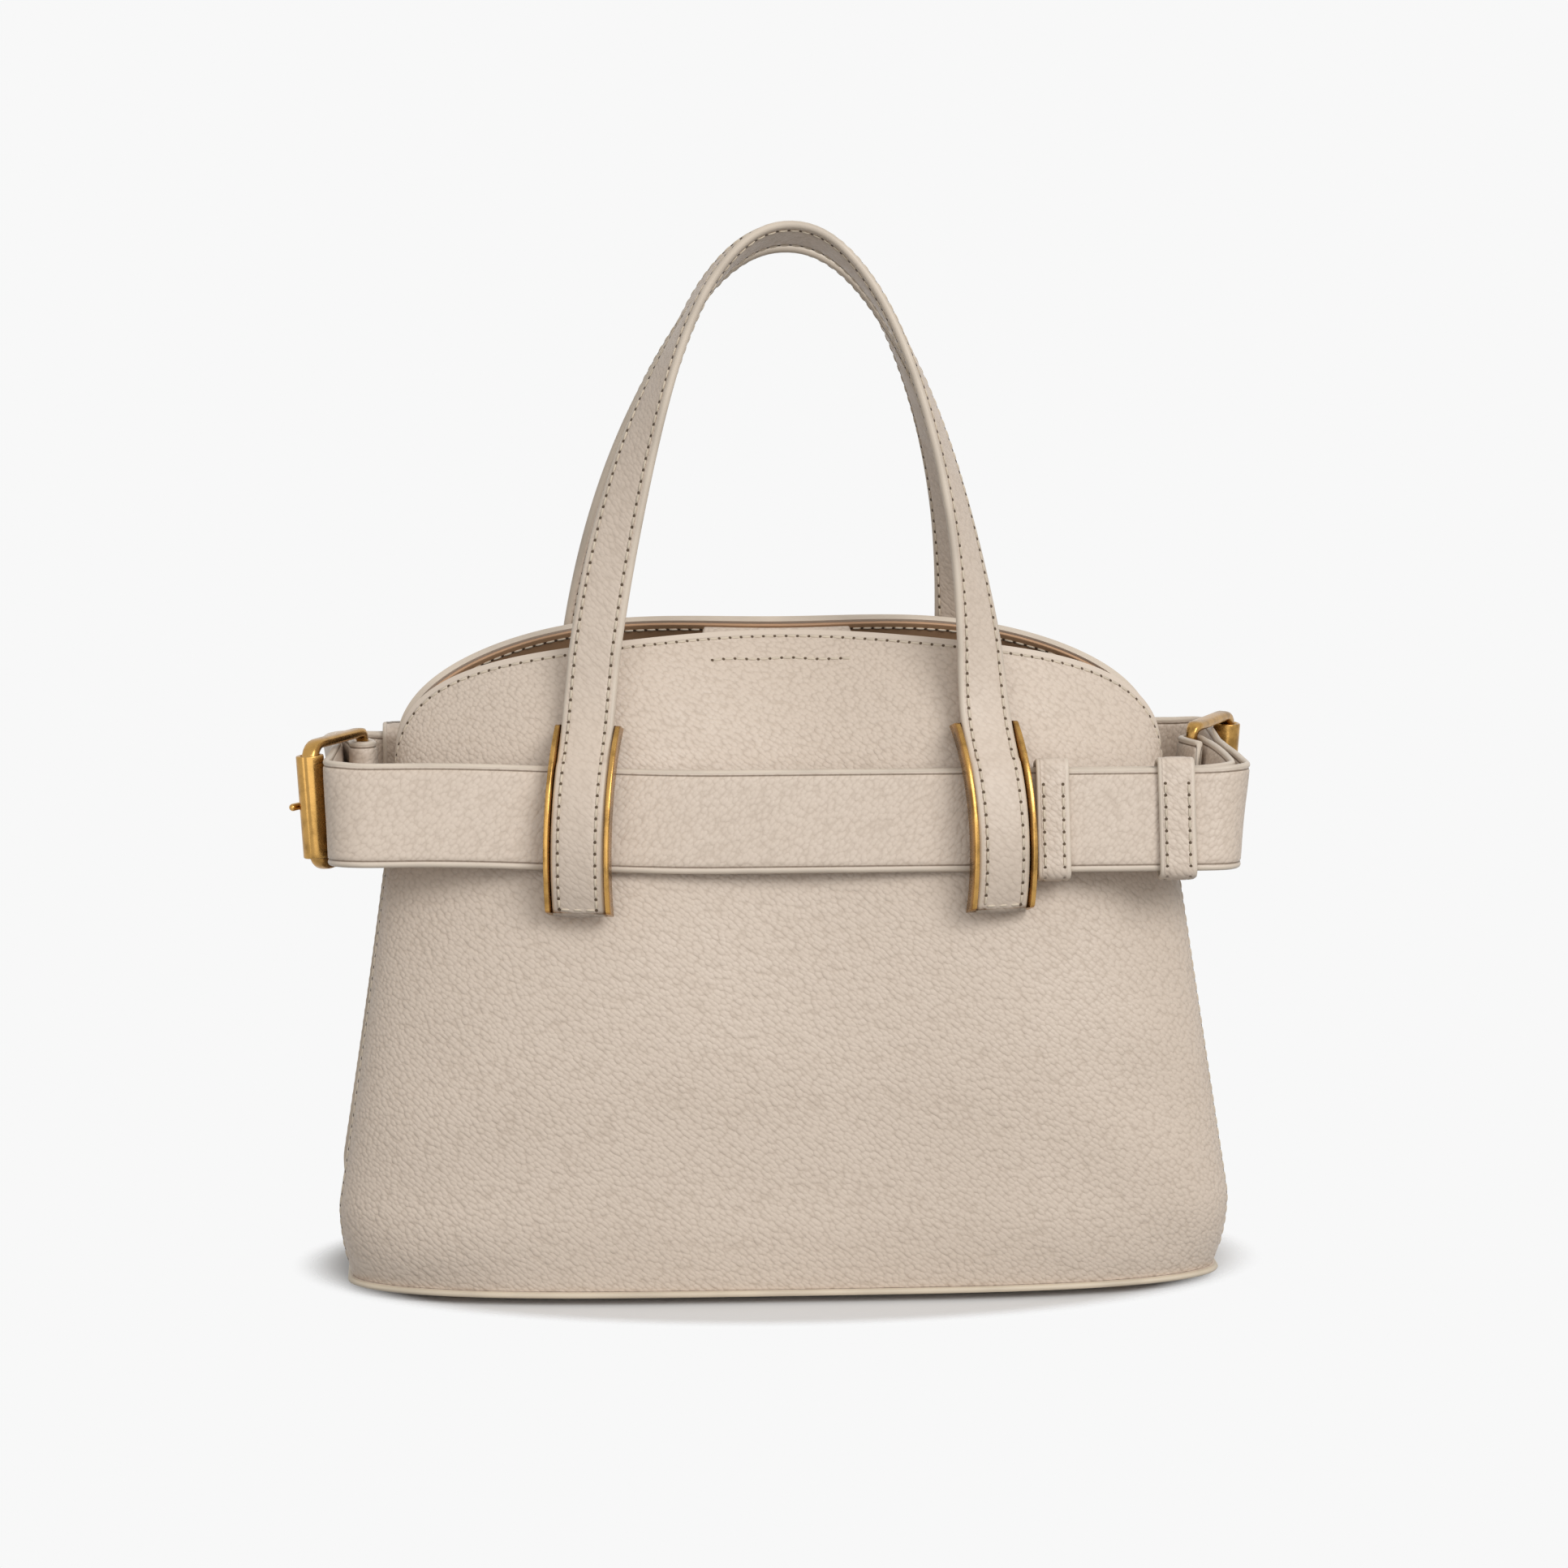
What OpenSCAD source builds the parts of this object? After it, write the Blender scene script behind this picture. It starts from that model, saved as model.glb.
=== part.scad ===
// Top handle bag of grained leather, closed by a belt with two roller buckles.
// Millimetres, Z up, front towards -Y, origin on the floor under the middle of the bag.
// The back is the front turned half a turn about Z.

/* [Body] */
// Width of the body where it is widest
body_w = 288; // [250:1:330]
// Width of the body at the belt
waist_w = 250; // [240:1:275]
// Height of the mouth's highest point above the floor
body_h = 212; // [195:1:235]
// Height where the domed top begins at the sides
shoulder_h = 166; // [160:1:176]
// Height where the body is widest
bulge_h = 29; // [20:1:50]
// Depth of the base, front to back
base_d = 132; // [124:1:150]
// Radius of the body's corners in plan
corner_r = 30; // [22:1:36]
// How far the body draws in down to its base
base_tuck = 4; // [1:0.5:6]
// Widest gap of the mouth, front to back
mouth_d = 44; // [36:1:60]
// Gap of the mouth at its middle and at its ends
pinch_d = 16; // [15:1:22]
// Thickness of the front and back leather
leather_t = 2.2; // [1.6:0.1:2.6]
// Thickness of the side gussets
gusset_t = 1.6; // [1.2:0.1:2]
// How far the side gussets stop below the domed top
gusset_drop = 8; // [2:1:26]
// How far the gussets fold inwards at their top
gusset_fold = 22; // [12:1:28]
// How far the gussets lap behind the edges of the panels
gusset_lap = 2; // [1:0.1:3]

/* [Base] */
// Thickness of the base leather
base_t = 2; // [1.4:0.1:3]
// How far the base leather stands out past the body
base_lip = 1.6; // [0.8:0.1:3]
// Thickness of the stiffening board in the base
board_t = 2; // [1.2:0.1:3]
// Height of the metal feet
foot_h = 2.6; // [2:0.1:6]
// Radius of the metal feet
foot_r = 5; // [3:0.1:8]
// Radius of the shank of a foot
shank_r = 1.4; // [1:0.1:2]
// Distance from the body's sides to the middle of the feet
foot_side_inset = 39; // [36:0.5:80]
// Distance from the body's front and back to the middle of the feet
foot_front_inset = 24; // [21:1:40]

/* [Inside] */
// Thickness of the lining
lining_t = 0.8; // [0.6:0.1:1.2]
// How far the lining stops below the magnet tabs
lining_drop = 14; // [6:1:40]
// Thickness of the facing inside the mouth
facing_t = 1; // [0.8:0.1:1.4]
// Height of the facing inside the mouth
facing_h = 22; // [12:1:24]
// Width of the magnet tabs
tab_w = 46; // [36:1:60]
// Height of the magnet tabs
tab_h = 26; // [20:1:32]
// Thickness of the magnet tabs
tab_t = 3.4; // [3:0.1:4]
// Radius of the magnets
magnet_r = 7; // [5:0.1:9]
// Thickness of the magnets
magnet_t = 2; // [1:0.1:2.2]

/* [Handles] */
// Width of the handle strap
handle_w = 17; // [14:0.5:18]
// Thickness of the handle strap
handle_t = 3.2; // [2.4:0.1:3.6]
// Height of the middle of the front handle's arch above the mouth
handle_h = 128; // [90:1:190]
// How much lower the back handle's arch stands
handle_drop = 2.5; // [0:0.5:8]
// Distance of the handle's top from the middle plane
handle_top_y = 11; // [10.5:0.1:14]

/* [Brass trays] */
// Distance from the middle to the middle of a tray
tray_x = 64; // [56:1:70]
// How much lower than the belt the middle of a tray sits
tray_drop = 0; // [0:0.1:4]
// Length of a tray between its ends
tray_l = 57.5; // [55:0.5:62]
// Width of a tray
tray_w = 21; // [20.4:0.1:26]
// How far a tray bows outwards
tray_bow = 11; // [9:0.1:12]
// Thickness of the tray's sheet
tray_t = 1.2; // [0.8:0.1:1.6]
// Thickness of the tray's side walls
tray_side_t = 1.6; // [1.2:0.1:1.7]
// Depth of the tray's side walls with its floor
tray_wall = 5.7; // [5:0.1:8]
// Turn of a tray away from straight ahead, in degrees
tray_yaw = 13; // [8:1:16]
// Radius of the tray screws
screw_r = 1.5; // [1:0.1:2]
// Radius of the heads of the tray screws
screw_head_r = 2.8; // [2.2:0.1:3]
// Thickness of the heads of the tray screws
screw_head_t = 1.2; // [0.8:0.1:1.4]

/* [Belt] */
// Width of the belt
belt_w = 34; // [30:0.5:36]
// Thickness of the belt
belt_t = 2.6; // [2.2:0.1:3]
// How far the middle of the belt sits below the start of the domed top
belt_drop = 11.7; // [8:0.1:16]
// How much steeper the belt stands than the trays, in degrees
belt_steeper = 1.6; // [-1:0.1:5]
// Distance between the front, where the trays are, and the middle of the belt
belt_stand = 3.04; // [2.9:0.1:8]
// How far the belt stands out past the waist at the sides
side_room = 21; // [11:0.5:28]
// Radius of the belt's bend at a corner
bend_r = 12; // [9:0.5:14]

/* [Buckles] */
// Distance between the roller and the heel bar of a buckle
buckle_l = 36; // [32:0.5:38]
// How far a heel bar lies inside the belt's side
heel_inset = 11.6; // [9:0.1:13]
// Distance along the side from the belt's front bend to the roller
roller_in = 9.92; // [8:0.01:13]
// Turn of a buckle from the side's direction, in degrees
buckle_turn = 27; // [22:1:32]
// Outward tilt of a buckle, in degrees
buckle_tilt = 4.2; // [0:0.1:6]
// How much higher than the front of the belt the buckles sit
buckle_rise = 3; // [0:0.1:5]
// Radius of the heel bar
heel_r = 1.8; // [1.4:0.1:2.2]
// Radius of the bar in the roller
axle_r = 3.2; // [2.4:0.1:3.6]
// Thickness of the roller's wall
roller_t = 1.2; // [0.8:0.1:1.6]
// Length of the roller
roller_l = 33; // [28:0.5:34]
// Height of the top and bottom bars
bar_h = 3.2; // [2.4:0.1:4]
// Width of the top and bottom bars
bar_w = 5.2; // [4:0.1:6.4]
// Radius of the prong
prong_r = 1.4; // [1:0.1:1.7]
// Height of the prong's ring on the heel bar
ring_h = 5; // [4:0.1:6]
// How far the prong reaches past the roller's middle
prong_past = 2.5; // [1:0.1:5]

/* [Keepers] */
// Width of the fixed keeper along the belt
fixed_keeper_w = 10.4; // [8:0.1:12]
// Distance from the middle of a tray to the fixed keeper
fixed_keeper_off = 19.9; // [19.6:0.1:26]
// Width of the sliding keeper along the belt
slide_keeper_w = 11.6; // [9:0.1:13]
// Distance from the belt's side to the sliding keeper
slide_keeper_in = 22.5; // [20:0.1:31]
// Thickness of the keeper leather
keeper_t = 1.8; // [1.4:0.1:2]

/* [Hidden] */
$fn = 48;

// Clearances
soft_gap = 0.3;
seam_gap = 0.1;
pin_gap = 0.06;
overrun = 1;
lining_room = 5;
// Powers of the body's curves
dome_power = 2.65;
corner_power = 3.6;
flare_power = 1.15;
// Share of the front's inward lean that starts low down
low_lean_share = 0.62;
// Counts of columns and rows in the soft panels
panel_cols = 12;
panel_rows = 13;

leather = [0.80, 0.745, 0.67];
tan_leather = [0.60, 0.46, 0.36];
brass = [0.66, 0.50, 0.22];
cloth = [0.72, 0.66, 0.58];
steel = [0.70, 0.70, 0.72];

base_z = foot_h + base_t + seam_gap;
inner_gap = leather_t + soft_gap;
gusset_top = shoulder_h - gusset_drop;
lining_top = body_h - tab_h - lining_drop;
handle_top = body_h + handle_h;
foot_x = body_w / 2 - foot_side_inset;
foot_y = base_d / 2 - foot_front_inset;
belt_z = shoulder_h - belt_drop;
buckle_z = belt_z + buckle_rise;
tray_z = belt_z - tray_drop;
side_x = waist_w / 2 + side_room;
heel_x = side_x - heel_inset;
fixed_keeper_x = tray_x + fixed_keeper_off;
slide_keeper_x = side_x - slide_keeper_in;

// Everything at the back is the front turned half a turn
module opposite() rotate([0, 0, 180]) children();

function smooth(t) = let(c = min(1, max(0, t))) c * c * (3 - 2 * c);
function mix(a, b, t) = a + (b - a) * t;
function unit(v) = v / norm(v);

// Tuck of the lowest part of the body, zero from the bulge upwards
function tuck(z) = z < bulge_h ? base_tuck * pow((bulge_h - z) / (bulge_h - base_z), 2) : 0;

// Half the body's width at height z
function half_w(z) =
    let(t = min(1, max(0, (z - bulge_h) / (shoulder_h - bulge_h))))
    mix(waist_w, body_w, pow(1 - t, flare_power)) / 2 - tuck(z);

// Height of the dome's edge at share s of the half width
function dome_z(s) =
    mix(shoulder_h, body_h, pow(max(0, 1 - pow(abs(s), dome_power)), 1 / dome_power));

// Distance of the front from the middle plane, at the base and at the mouth
function base_depth(s) =
    base_d / 2 - corner_r + corner_r * sqrt(max(0, 1 - pow(abs(s), corner_power)));
function mouth_depth(s) = mix(pinch_d, mouth_d, pow(sin(180 * abs(s)), 2)) / 2;

// Share of the base's depth that is left at share v of the height
function lean(v) = 1 - low_lean_share * pow(v, 2) - (1 - low_lean_share) * pow(v, 6);

function front_depth(s, v) = mix(mouth_depth(s), base_depth(s), lean(v));
function height_at(s, v) = mix(base_z, dome_z(s), v);
function front_point(s, v) =
    let(z = height_at(s, v)) [s * half_w(z), tuck(z) - front_depth(s, v), z];

// Outer face of the front at a place given by x and z
function front_y(x, z) =
    let(s = x / half_w(z), v = (z - base_z) / (dome_z(s) - base_z)) tuck(z) - front_depth(s, v);

// Grid of points on the front, closer together towards the sides, the base and the mouth
function front_grid(v_start, v_end, cols, rows) =
    [for (i = [0:rows]) [for (j = [-cols:cols])
        front_point(sin(90 * j / panel_cols), mix(v_start, v_end, (1 - cos(180 * i / rows)) / 2))]];

// Normal of a grid that runs to the right and then upwards, pointing outwards
function grid_normal(g, i, j) =
    let(rows = len(g) - 1, cols = len(g[0]) - 1)
    unit(cross(g[i][min(j + 1, cols)] - g[i][max(j - 1, 0)],
        g[min(i + 1, rows)][j] - g[max(i - 1, 0)][j]));

// The grid moved inwards along its normals
function inset_grid(g, d) =
    [for (i = [0:len(g) - 1]) [for (j = [0:len(g[0]) - 1]) g[i][j] - grid_normal(g, i, j) * d]];

// Closed shell between a grid and the same grid moved inwards by t
module shell(g, t) {
    rows = len(g) - 1;
    cols = len(g[0]) - 1;
    inner = inset_grid(g, t);
    count = (rows + 1) * (cols + 1);
    points = concat([for (row = g) each row], [for (row = inner) each row]);
    function at(i, j) = i * (cols + 1) + j;
    function quad(a, b, c, d) = [[a, b, c], [a, c, d]];
    faces = concat(
        [for (i = [0:rows - 1], j = [0:cols - 1])
            each quad(at(i, j), at(i + 1, j), at(i + 1, j + 1), at(i, j + 1))],
        [for (i = [0:rows - 1], j = [0:cols - 1])
            each quad(count + at(i, j), count + at(i, j + 1), count + at(i + 1, j + 1),
                count + at(i + 1, j))],
        [for (j = [0:cols - 1])
            each quad(at(0, j), at(0, j + 1), count + at(0, j + 1), count + at(0, j))],
        [for (j = [0:cols - 1])
            each quad(at(rows, j + 1), at(rows, j), count + at(rows, j), count + at(rows, j + 1))],
        [for (i = [0:rows - 1])
            each quad(at(i + 1, 0), at(i, 0), count + at(i, 0), count + at(i + 1, 0))],
        [for (i = [0:rows - 1])
            each quad(at(i, cols), at(i + 1, cols), count + at(i + 1, cols), count + at(i, cols))]);
    polyhedron(points, faces, convexity = 8);
}

// Closed solid through rings of points, with flat ends
module loft(rings) {
    n = len(rings) - 1;
    k = len(rings[0]);
    points = [for (ring = rings) each ring];
    faces = concat(
        [[for (j = [0:k - 1]) j]],
        [[for (j = [k - 1:-1:0]) n * k + j]],
        [for (i = [0:n - 1], j = [0:k - 1])
            let(a = i * k + j, b = i * k + (j + 1) % k)
            each [[a, b + k, b], [a, a + k, b + k]]]);
    polyhedron(points, faces, convexity = 8);
}

// Flat section of a strap with bevelled edges, w along u and t along d
bevel_share = 0.3;
function strap_ring(p, u, d, w, t) =
    let(a = w / 2, h = t / 2, c = t * bevel_share)
    [for (q = [[-a, -h + c], [-a + c, -h], [a - c, -h], [a, -h + c],
        [a, h - c], [a - c, h], [-a + c, h], [-a, h - c]]) p + u * q[0] + d * q[1]];

function path_tangent(path, i) =
    unit(path[min(i + 1, len(path) - 1)] - path[max(i - 1, 0)]);

// Rectangle with rounded corners
module rounded_rect(w, h, r) {
    square([w, h - 2 * r], center = true);
    square([w - 2 * r, h], center = true);
    for (x = [-1, 1], y = [-1, 1]) translate([x * (w / 2 - r), y * (h / 2 - r)]) circle(r);
}

// Body panels

module plain_front() shell(front_grid(0, 1, panel_cols, panel_rows), leather_t);

module panel() {
    difference() {
        plain_front();
        for (side = [-1, 1]) at_tray(side) screw_holes();
    }
}

module front_panel() color(leather) panel();
module back_panel() color(leather) opposite() panel();

// Depth of the edge that a panel and a gusset share
function edge_y(z) = let(v = (z - base_z) / (shoulder_h - base_z)) front_depth(1, v) - tuck(z);
fold_start_share = 0.28;
edge_gap = 0.9;
function fold_in(z) =
    let(start = fold_start_share * gusset_top) gusset_fold * smooth((z - start) / (gusset_top - start));
function gusset_face(z) = half_w(z) - leather_t - edge_gap;

gusset_cols = 12;
gusset_rows = 10;
function gusset_grid() =
    [for (i = [0:gusset_rows]) [for (j = [0:gusset_cols])
        let(z = mix(base_z, gusset_top, i / gusset_rows), w = 1 - 2 * j / gusset_cols,
            y = w * (edge_y(z) + gusset_lap))
        [fold_in(z) * pow(cos(90 * w), 2) - gusset_face(z), y, z]]];

module gusset() shell(gusset_grid(), gusset_t);
module left_gusset() color(leather) gusset();
module right_gusset() color(leather) opposite() gusset();

// Base

outline_steps = 10;
// Outline of the body at its base, grown by d, or shrunk where d is below zero
function half_outline(d) =
    [for (j = [-outline_steps:outline_steps])
        let(s = sin(90 * j / outline_steps))
        [s * (half_w(base_z) + d), tuck(base_z) - base_depth(s) - d]];
function base_outline(d) = concat(half_outline(d), [for (p = half_outline(d)) -p]);

module at_feet() for (x = [-foot_x, foot_x], y = [-foot_y, foot_y]) translate([x, y, 0]) children();

module foot_holes() at_feet() cylinder(r = shank_r + pin_gap, h = base_z + board_t + overrun);

module base_panel() color(leather) {
    difference() {
        translate([0, 0, foot_h]) linear_extrude(base_t) polygon(base_outline(base_lip));
        foot_holes();
    }
}

board_inset = inner_gap + gusset_t + edge_gap;
module base_board() color(cloth) {
    difference() {
        translate([0, 0, foot_h + base_t])
            linear_extrude(board_t) polygon(base_outline(-board_inset));
        foot_holes();
    }
}

foot_narrow_share = 0.8;
module base_feet() color(brass) {
    at_feet() {
        cylinder(r1 = foot_r * foot_narrow_share, r2 = foot_r, h = foot_h);
        cylinder(r = shank_r, h = foot_h + base_t + board_t);
    }
}

// Lining, an open bag inside the panels and between the folded gussets

lining_cols = 28;
lining_rows = 8;
lining_power = 4;
lining_floor = foot_h + base_t + board_t + soft_gap;
function lining_half_w(z) = gusset_face(z) - gusset_t - fold_in(z) - edge_gap;
function lining_ring(z, d) =
    [for (j = [0:lining_cols - 1])
        let(a = 360 * j / lining_cols, c = cos(a), x = c * (lining_half_w(z) - d),
            reach = -front_y(x, max(z, base_z)) - lining_room - d)
        [x, sign(sin(a)) * reach * sqrt(max(0, 1 - pow(abs(c), lining_power))), z]];

module lining() color(tan_leather) {
    difference() {
        loft([for (i = [0:lining_rows])
            lining_ring(mix(lining_floor, lining_top, i / lining_rows), 0)]);
        loft(concat([lining_ring(lining_floor + lining_t, lining_t)],
            [for (i = [1:lining_rows])
                lining_ring(mix(lining_floor, lining_top, i / lining_rows), lining_t)],
            [[for (p = lining_ring(lining_top, lining_t)) p + [0, 0, overrun]]]));
    }
}

// Facing and magnet tabs inside the mouth

facing_cols = 9;
facing_rows = 3;
facing_gap = 0.5;
mouth_edge_share = 0.985;
function height_share(h) = 1 - h / (body_h - base_z);

module facing() {
    g = front_grid(height_share(facing_h), mouth_edge_share, facing_cols, facing_rows);
    shell(inset_grid(g, leather_t + facing_gap), facing_t);
}
module front_facing() color(tan_leather) facing();
module back_facing() color(tan_leather) opposite() facing();

tab_cols = 4;
tab_rows = 4;
tab_inset = leather_t + facing_gap + facing_t + soft_gap;
function tab_grid() =
    [for (i = [0:tab_rows]) [for (j = [-tab_cols:tab_cols])
        front_point(tab_w / waist_w * j / tab_cols,
            mix(height_share(tab_h), mouth_edge_share, i / tab_rows))]];

// Place and slope of the middle of a tab
magnet_v = height_share(tab_h / 2);
magnet_at = front_point(0, magnet_v);
slope_step = 0.01;
magnet_run = front_point(0, magnet_v + slope_step) - front_point(0, magnet_v - slope_step);
magnet_lean = atan2(magnet_run[1], magnet_run[2]);

module at_magnet(inset) {
    translate(magnet_at) rotate([-magnet_lean, 0, 0]) translate([0, inset, 0])
        rotate([-90, 0, 0]) children();
}

pocket_gap = 0.2;
module magnet_tab() {
    difference() {
        shell(inset_grid(tab_grid(), tab_inset), tab_t);
        at_magnet(inner_gap) cylinder(r = magnet_r + pocket_gap,
            h = tab_inset - inner_gap + magnet_t + 2 * pocket_gap);
    }
}
module front_magnet_tab() color(leather) magnet_tab();
module back_magnet_tab() color(leather) opposite() magnet_tab();

module magnet() at_magnet(tab_inset + pocket_gap) cylinder(r = magnet_r, h = magnet_t);
module front_magnet() color(steel) magnet();
module back_magnet() color(steel) opposite() magnet();

// Trays: a channel bowed outwards, with its ends on the front and the belt beneath

tray_stand = 1.9;
head_gap = 0.9;
tray_low = [tray_x, front_y(tray_x, tray_z - tray_l / 2) - tray_stand, tray_z - tray_l / 2];
tray_high = [tray_x, front_y(tray_x, tray_z + tray_l / 2) - tray_stand, tray_z + tray_l / 2];
tray_mid = (tray_low + tray_high) / 2;
tray_lean = atan2(tray_high[1] - tray_low[1], tray_high[2] - tray_low[2]);
tray_chord = norm(tray_high - tray_low);
tray_r = (pow(tray_chord / 2, 2) + pow(tray_bow, 2)) / (2 * tray_bow);
tray_half_angle = asin(tray_chord / 2 / tray_r);
belt_lean = tray_lean - belt_steeper;
belt_y = belt_stand - front_y(tray_x, belt_z);
heel_y = buckle_l * cos(buckle_turn) - (belt_y - bend_r - roller_in);
strap_lift = 0.3;
strap_r = tray_r + tray_t + strap_lift + handle_t / 2;

// Tray frame: origin at the middle of its chord, -Y outwards, Z along the chord
module at_tray(side) {
    translate([side * tray_mid[0], tray_mid[1], tray_mid[2]]) rotate([0, 0, side * tray_yaw])
        rotate([-tray_lean, 0, 0]) children();
}

// Sweeps a profile round the tray's bow, with its ends square to the chord; the profile's x is a
// radius, its y a width
module bow() {
    intersection() {
        translate([0, tray_r - tray_bow, 0]) rotate([-90, 0, 0]) rotate([0, 90, 0])
            rotate([0, 0, -tray_half_angle]) rotate_extrude(angle = 2 * tray_half_angle) children();
        cube([tray_chord, 2 * tray_chord, tray_chord], center = true);
    }
}

screw_reach_share = 0.84;
screw_z = tray_chord / 2 * screw_reach_share;
post_r = screw_r + tray_t;
function floor_at(z) = sqrt(pow(tray_r, 2) - pow(z, 2)) - (tray_r - tray_bow);

module at_screws() for (z = [-screw_z, screw_z]) translate([0, 0, z]) rotate([-90, 0, 0]) children();

// Section of the channel, its floor nearest to the axis of the bow
channel_section = [[tray_r, -tray_w / 2], [tray_r + tray_wall, -tray_w / 2],
    [tray_r + tray_wall, tray_side_t - tray_w / 2], [tray_r + tray_t, tray_side_t - tray_w / 2],
    [tray_r + tray_t, tray_w / 2 - tray_side_t], [tray_r + tray_wall, tray_w / 2 - tray_side_t],
    [tray_r + tray_wall, tray_w / 2], [tray_r, tray_w / 2]];

module channel() {
    difference() {
        union() {
            bow() polygon(channel_section);
            intersection() {
                at_screws() translate([0, 0, -tray_bow]) cylinder(r = post_r, h = tray_bow);
                translate([0, tray_r - tray_bow, 0]) rotate([0, 90, 0])
                    cylinder(r = tray_r + tray_t / 2, h = tray_w, center = true);
            }
        }
        at_screws() translate([0, 0, tray_t - floor_at(screw_z)])
            cylinder(r = screw_r + pin_gap, h = floor_at(screw_z) + overrun);
    }
}

module screw_holes() {
    at_screws() translate([0, 0, -overrun]) cylinder(r = screw_r + pin_gap, h = 2 * lining_room);
}

module screws() {
    reach = tray_stand + leather_t + head_gap;
    shank = floor_at(screw_z) - tray_t - seam_gap;
    at_screws() {
        translate([0, 0, -shank]) cylinder(r = screw_r, h = shank + reach);
        translate([0, 0, reach]) cylinder(r = screw_head_r, h = screw_head_t);
    }
}

module strap_end() {
    bow() translate([strap_r, 0]) rounded_rect(handle_t, handle_w, handle_t * bevel_share);
}

module front_left_tray() color(brass) at_tray(-1) channel();
module front_right_tray() color(brass) at_tray(1) channel();
module back_left_tray() color(brass) opposite() at_tray(1) channel();
module back_right_tray() color(brass) opposite() at_tray(-1) channel();
module front_tray_screws() color(steel) for (side = [-1, 1]) at_tray(side) screws();
module back_tray_screws() color(steel) opposite() for (side = [-1, 1]) at_tray(side) screws();
module front_left_strap_end() color(leather) at_tray(-1) strap_end();
module front_right_strap_end() color(leather) at_tray(1) strap_end();
module back_left_strap_end() color(leather) opposite() at_tray(1) strap_end();
module back_right_strap_end() color(leather) opposite() at_tray(-1) strap_end();

// Handles: a strap that turns edge-on as it rises, hinged just above its trays

knuckle_r = handle_w / 2 * sin(tray_yaw) + handle_t / 2 * cos(tray_yaw) + pin_gap;
hinge_room = 1.3;
hinge_off = knuckle_r + hinge_room;
hinge_lean = 20;
// Top end of the strap in the tray's channel, in the leaning plane of the tray
end_up = tray_chord / 2;
end_out = sqrt(pow(strap_r, 2) - pow(end_up, 2)) - (tray_r - tray_bow);
end_y = end_up * sin(tray_lean) - end_out * cos(tray_lean);
end_z = end_up * cos(tray_lean) + end_out * sin(tray_lean);
hinge_x = tray_x - end_y * sin(tray_yaw);
hinge_y = tray_mid[1] + end_y * cos(tray_yaw) + hinge_off * sin(hinge_lean);
hinge_z = tray_mid[2] + end_z + hinge_off * cos(hinge_lean);

arch_width_power = 0.47;
arch_height_power = 1.32;
twist_power = 1.1;
top_twist = 104;
arch_steps = 16;

// The handle's plane runs from the hinge line up to the top of its arch
function arch_rise(top) = top - handle_t / 2 - hinge_z;
function arch_plane(rise) = unit([0, -handle_top_y - hinge_y, rise]);
function arch_height(c) = pow(max(0, 1 - pow(abs(c), 1 / arch_width_power)), 1 / arch_height_power);
function arch_point(c, rise) =
    let(h = arch_height(c)) [c * hinge_x, mix(hinge_y, -handle_top_y, h), hinge_z + rise * h];
function arch_twist(h) = mix(tray_yaw, top_twist, pow(sin(90 * pow(h, twist_power)), 2));
function arch_ring(p, tangent, h, front) =
    let(out = unit(cross(front, tangent)), twist = arch_twist(h),
        face = front * cos(twist) + out * sin(twist), across = unit(cross(face, tangent)))
    strap_ring(p, across, unit(cross(tangent, across)), handle_w, handle_t);

module arch(rise) {
    path = [for (i = [-arch_steps:arch_steps]) arch_point(sin(90 * i / arch_steps), rise)];
    plane = arch_plane(rise);
    front = cross([1, 0, 0], plane);
    n = len(path) - 1;
    loft([for (i = [0:n])
        let(tangent = i == 0 ? plane : i == n ? -plane : path_tangent(path, i))
        arch_ring(path[i], tangent, (path[i][2] - hinge_z) / rise, front)]);
}

// Rounded end of the strap, which turns about the hinge line
module knuckle(side, rise) {
    plane = arch_plane(rise);
    intersection() {
        translate([side * hinge_x, hinge_y, hinge_z]) rotate([0, 90, 0])
            cylinder(r = knuckle_r, h = handle_w + 2 * overrun, center = true);
        translate([side * hinge_x, hinge_y, hinge_z]) rotate([-atan2(plane[1], plane[2]), 0, 0])
            rotate([0, 0, side * tray_yaw]) translate([0, 0, -knuckle_r])
            cube([handle_w - 2 * seam_gap, handle_t - 2 * seam_gap, 2 * knuckle_r + overrun], center = true);
    }
}

module handle(top) {
    arch(arch_rise(top));
    for (side = [-1, 1]) knuckle(side, arch_rise(top));
}

module front_handle() color(leather) handle(handle_top);
module back_handle() color(leather) opposite() handle(handle_top - handle_drop);

// Buckles

module at_buckle() {
    heading = -90 - buckle_turn;
    translate([-heel_x, heel_y, buckle_z]) rotate([0, 0, heading]) rotate([buckle_tilt, 0, 0]) children();
}

frame_gap = 0.9;
frame_h = belt_w + 2 * frame_gap;
roller_r = axle_r + pin_gap + roller_t;

module frame() {
    cylinder(r = heel_r, h = frame_h + 2 * seam_gap, center = true);
    translate([buckle_l, 0, 0]) cylinder(r = axle_r, h = frame_h + 2 * seam_gap, center = true);
    for (end = [-1, 1]) translate([0, 0, end * (frame_h + bar_h) / 2])
        linear_extrude(bar_h, center = true) {
            translate([0, -bar_w / 2]) square([buckle_l, bar_w]);
            circle(bar_w / 2);
            translate([buckle_l, 0]) circle(max(bar_w / 2, axle_r));
        }
}
module left_buckle_frame() color(brass) at_buckle() frame();
module right_buckle_frame() color(brass) opposite() at_buckle() frame();

module roller() {
    translate([buckle_l, 0, 0]) difference() {
        cylinder(r = roller_r, h = roller_l, center = true);
        cylinder(r = axle_r + pin_gap, h = roller_l + 2 * overrun, center = true);
    }
}
module left_roller() color(brass) at_buckle() roller();
module right_roller() color(brass) opposite() at_buckle() roller();

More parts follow.
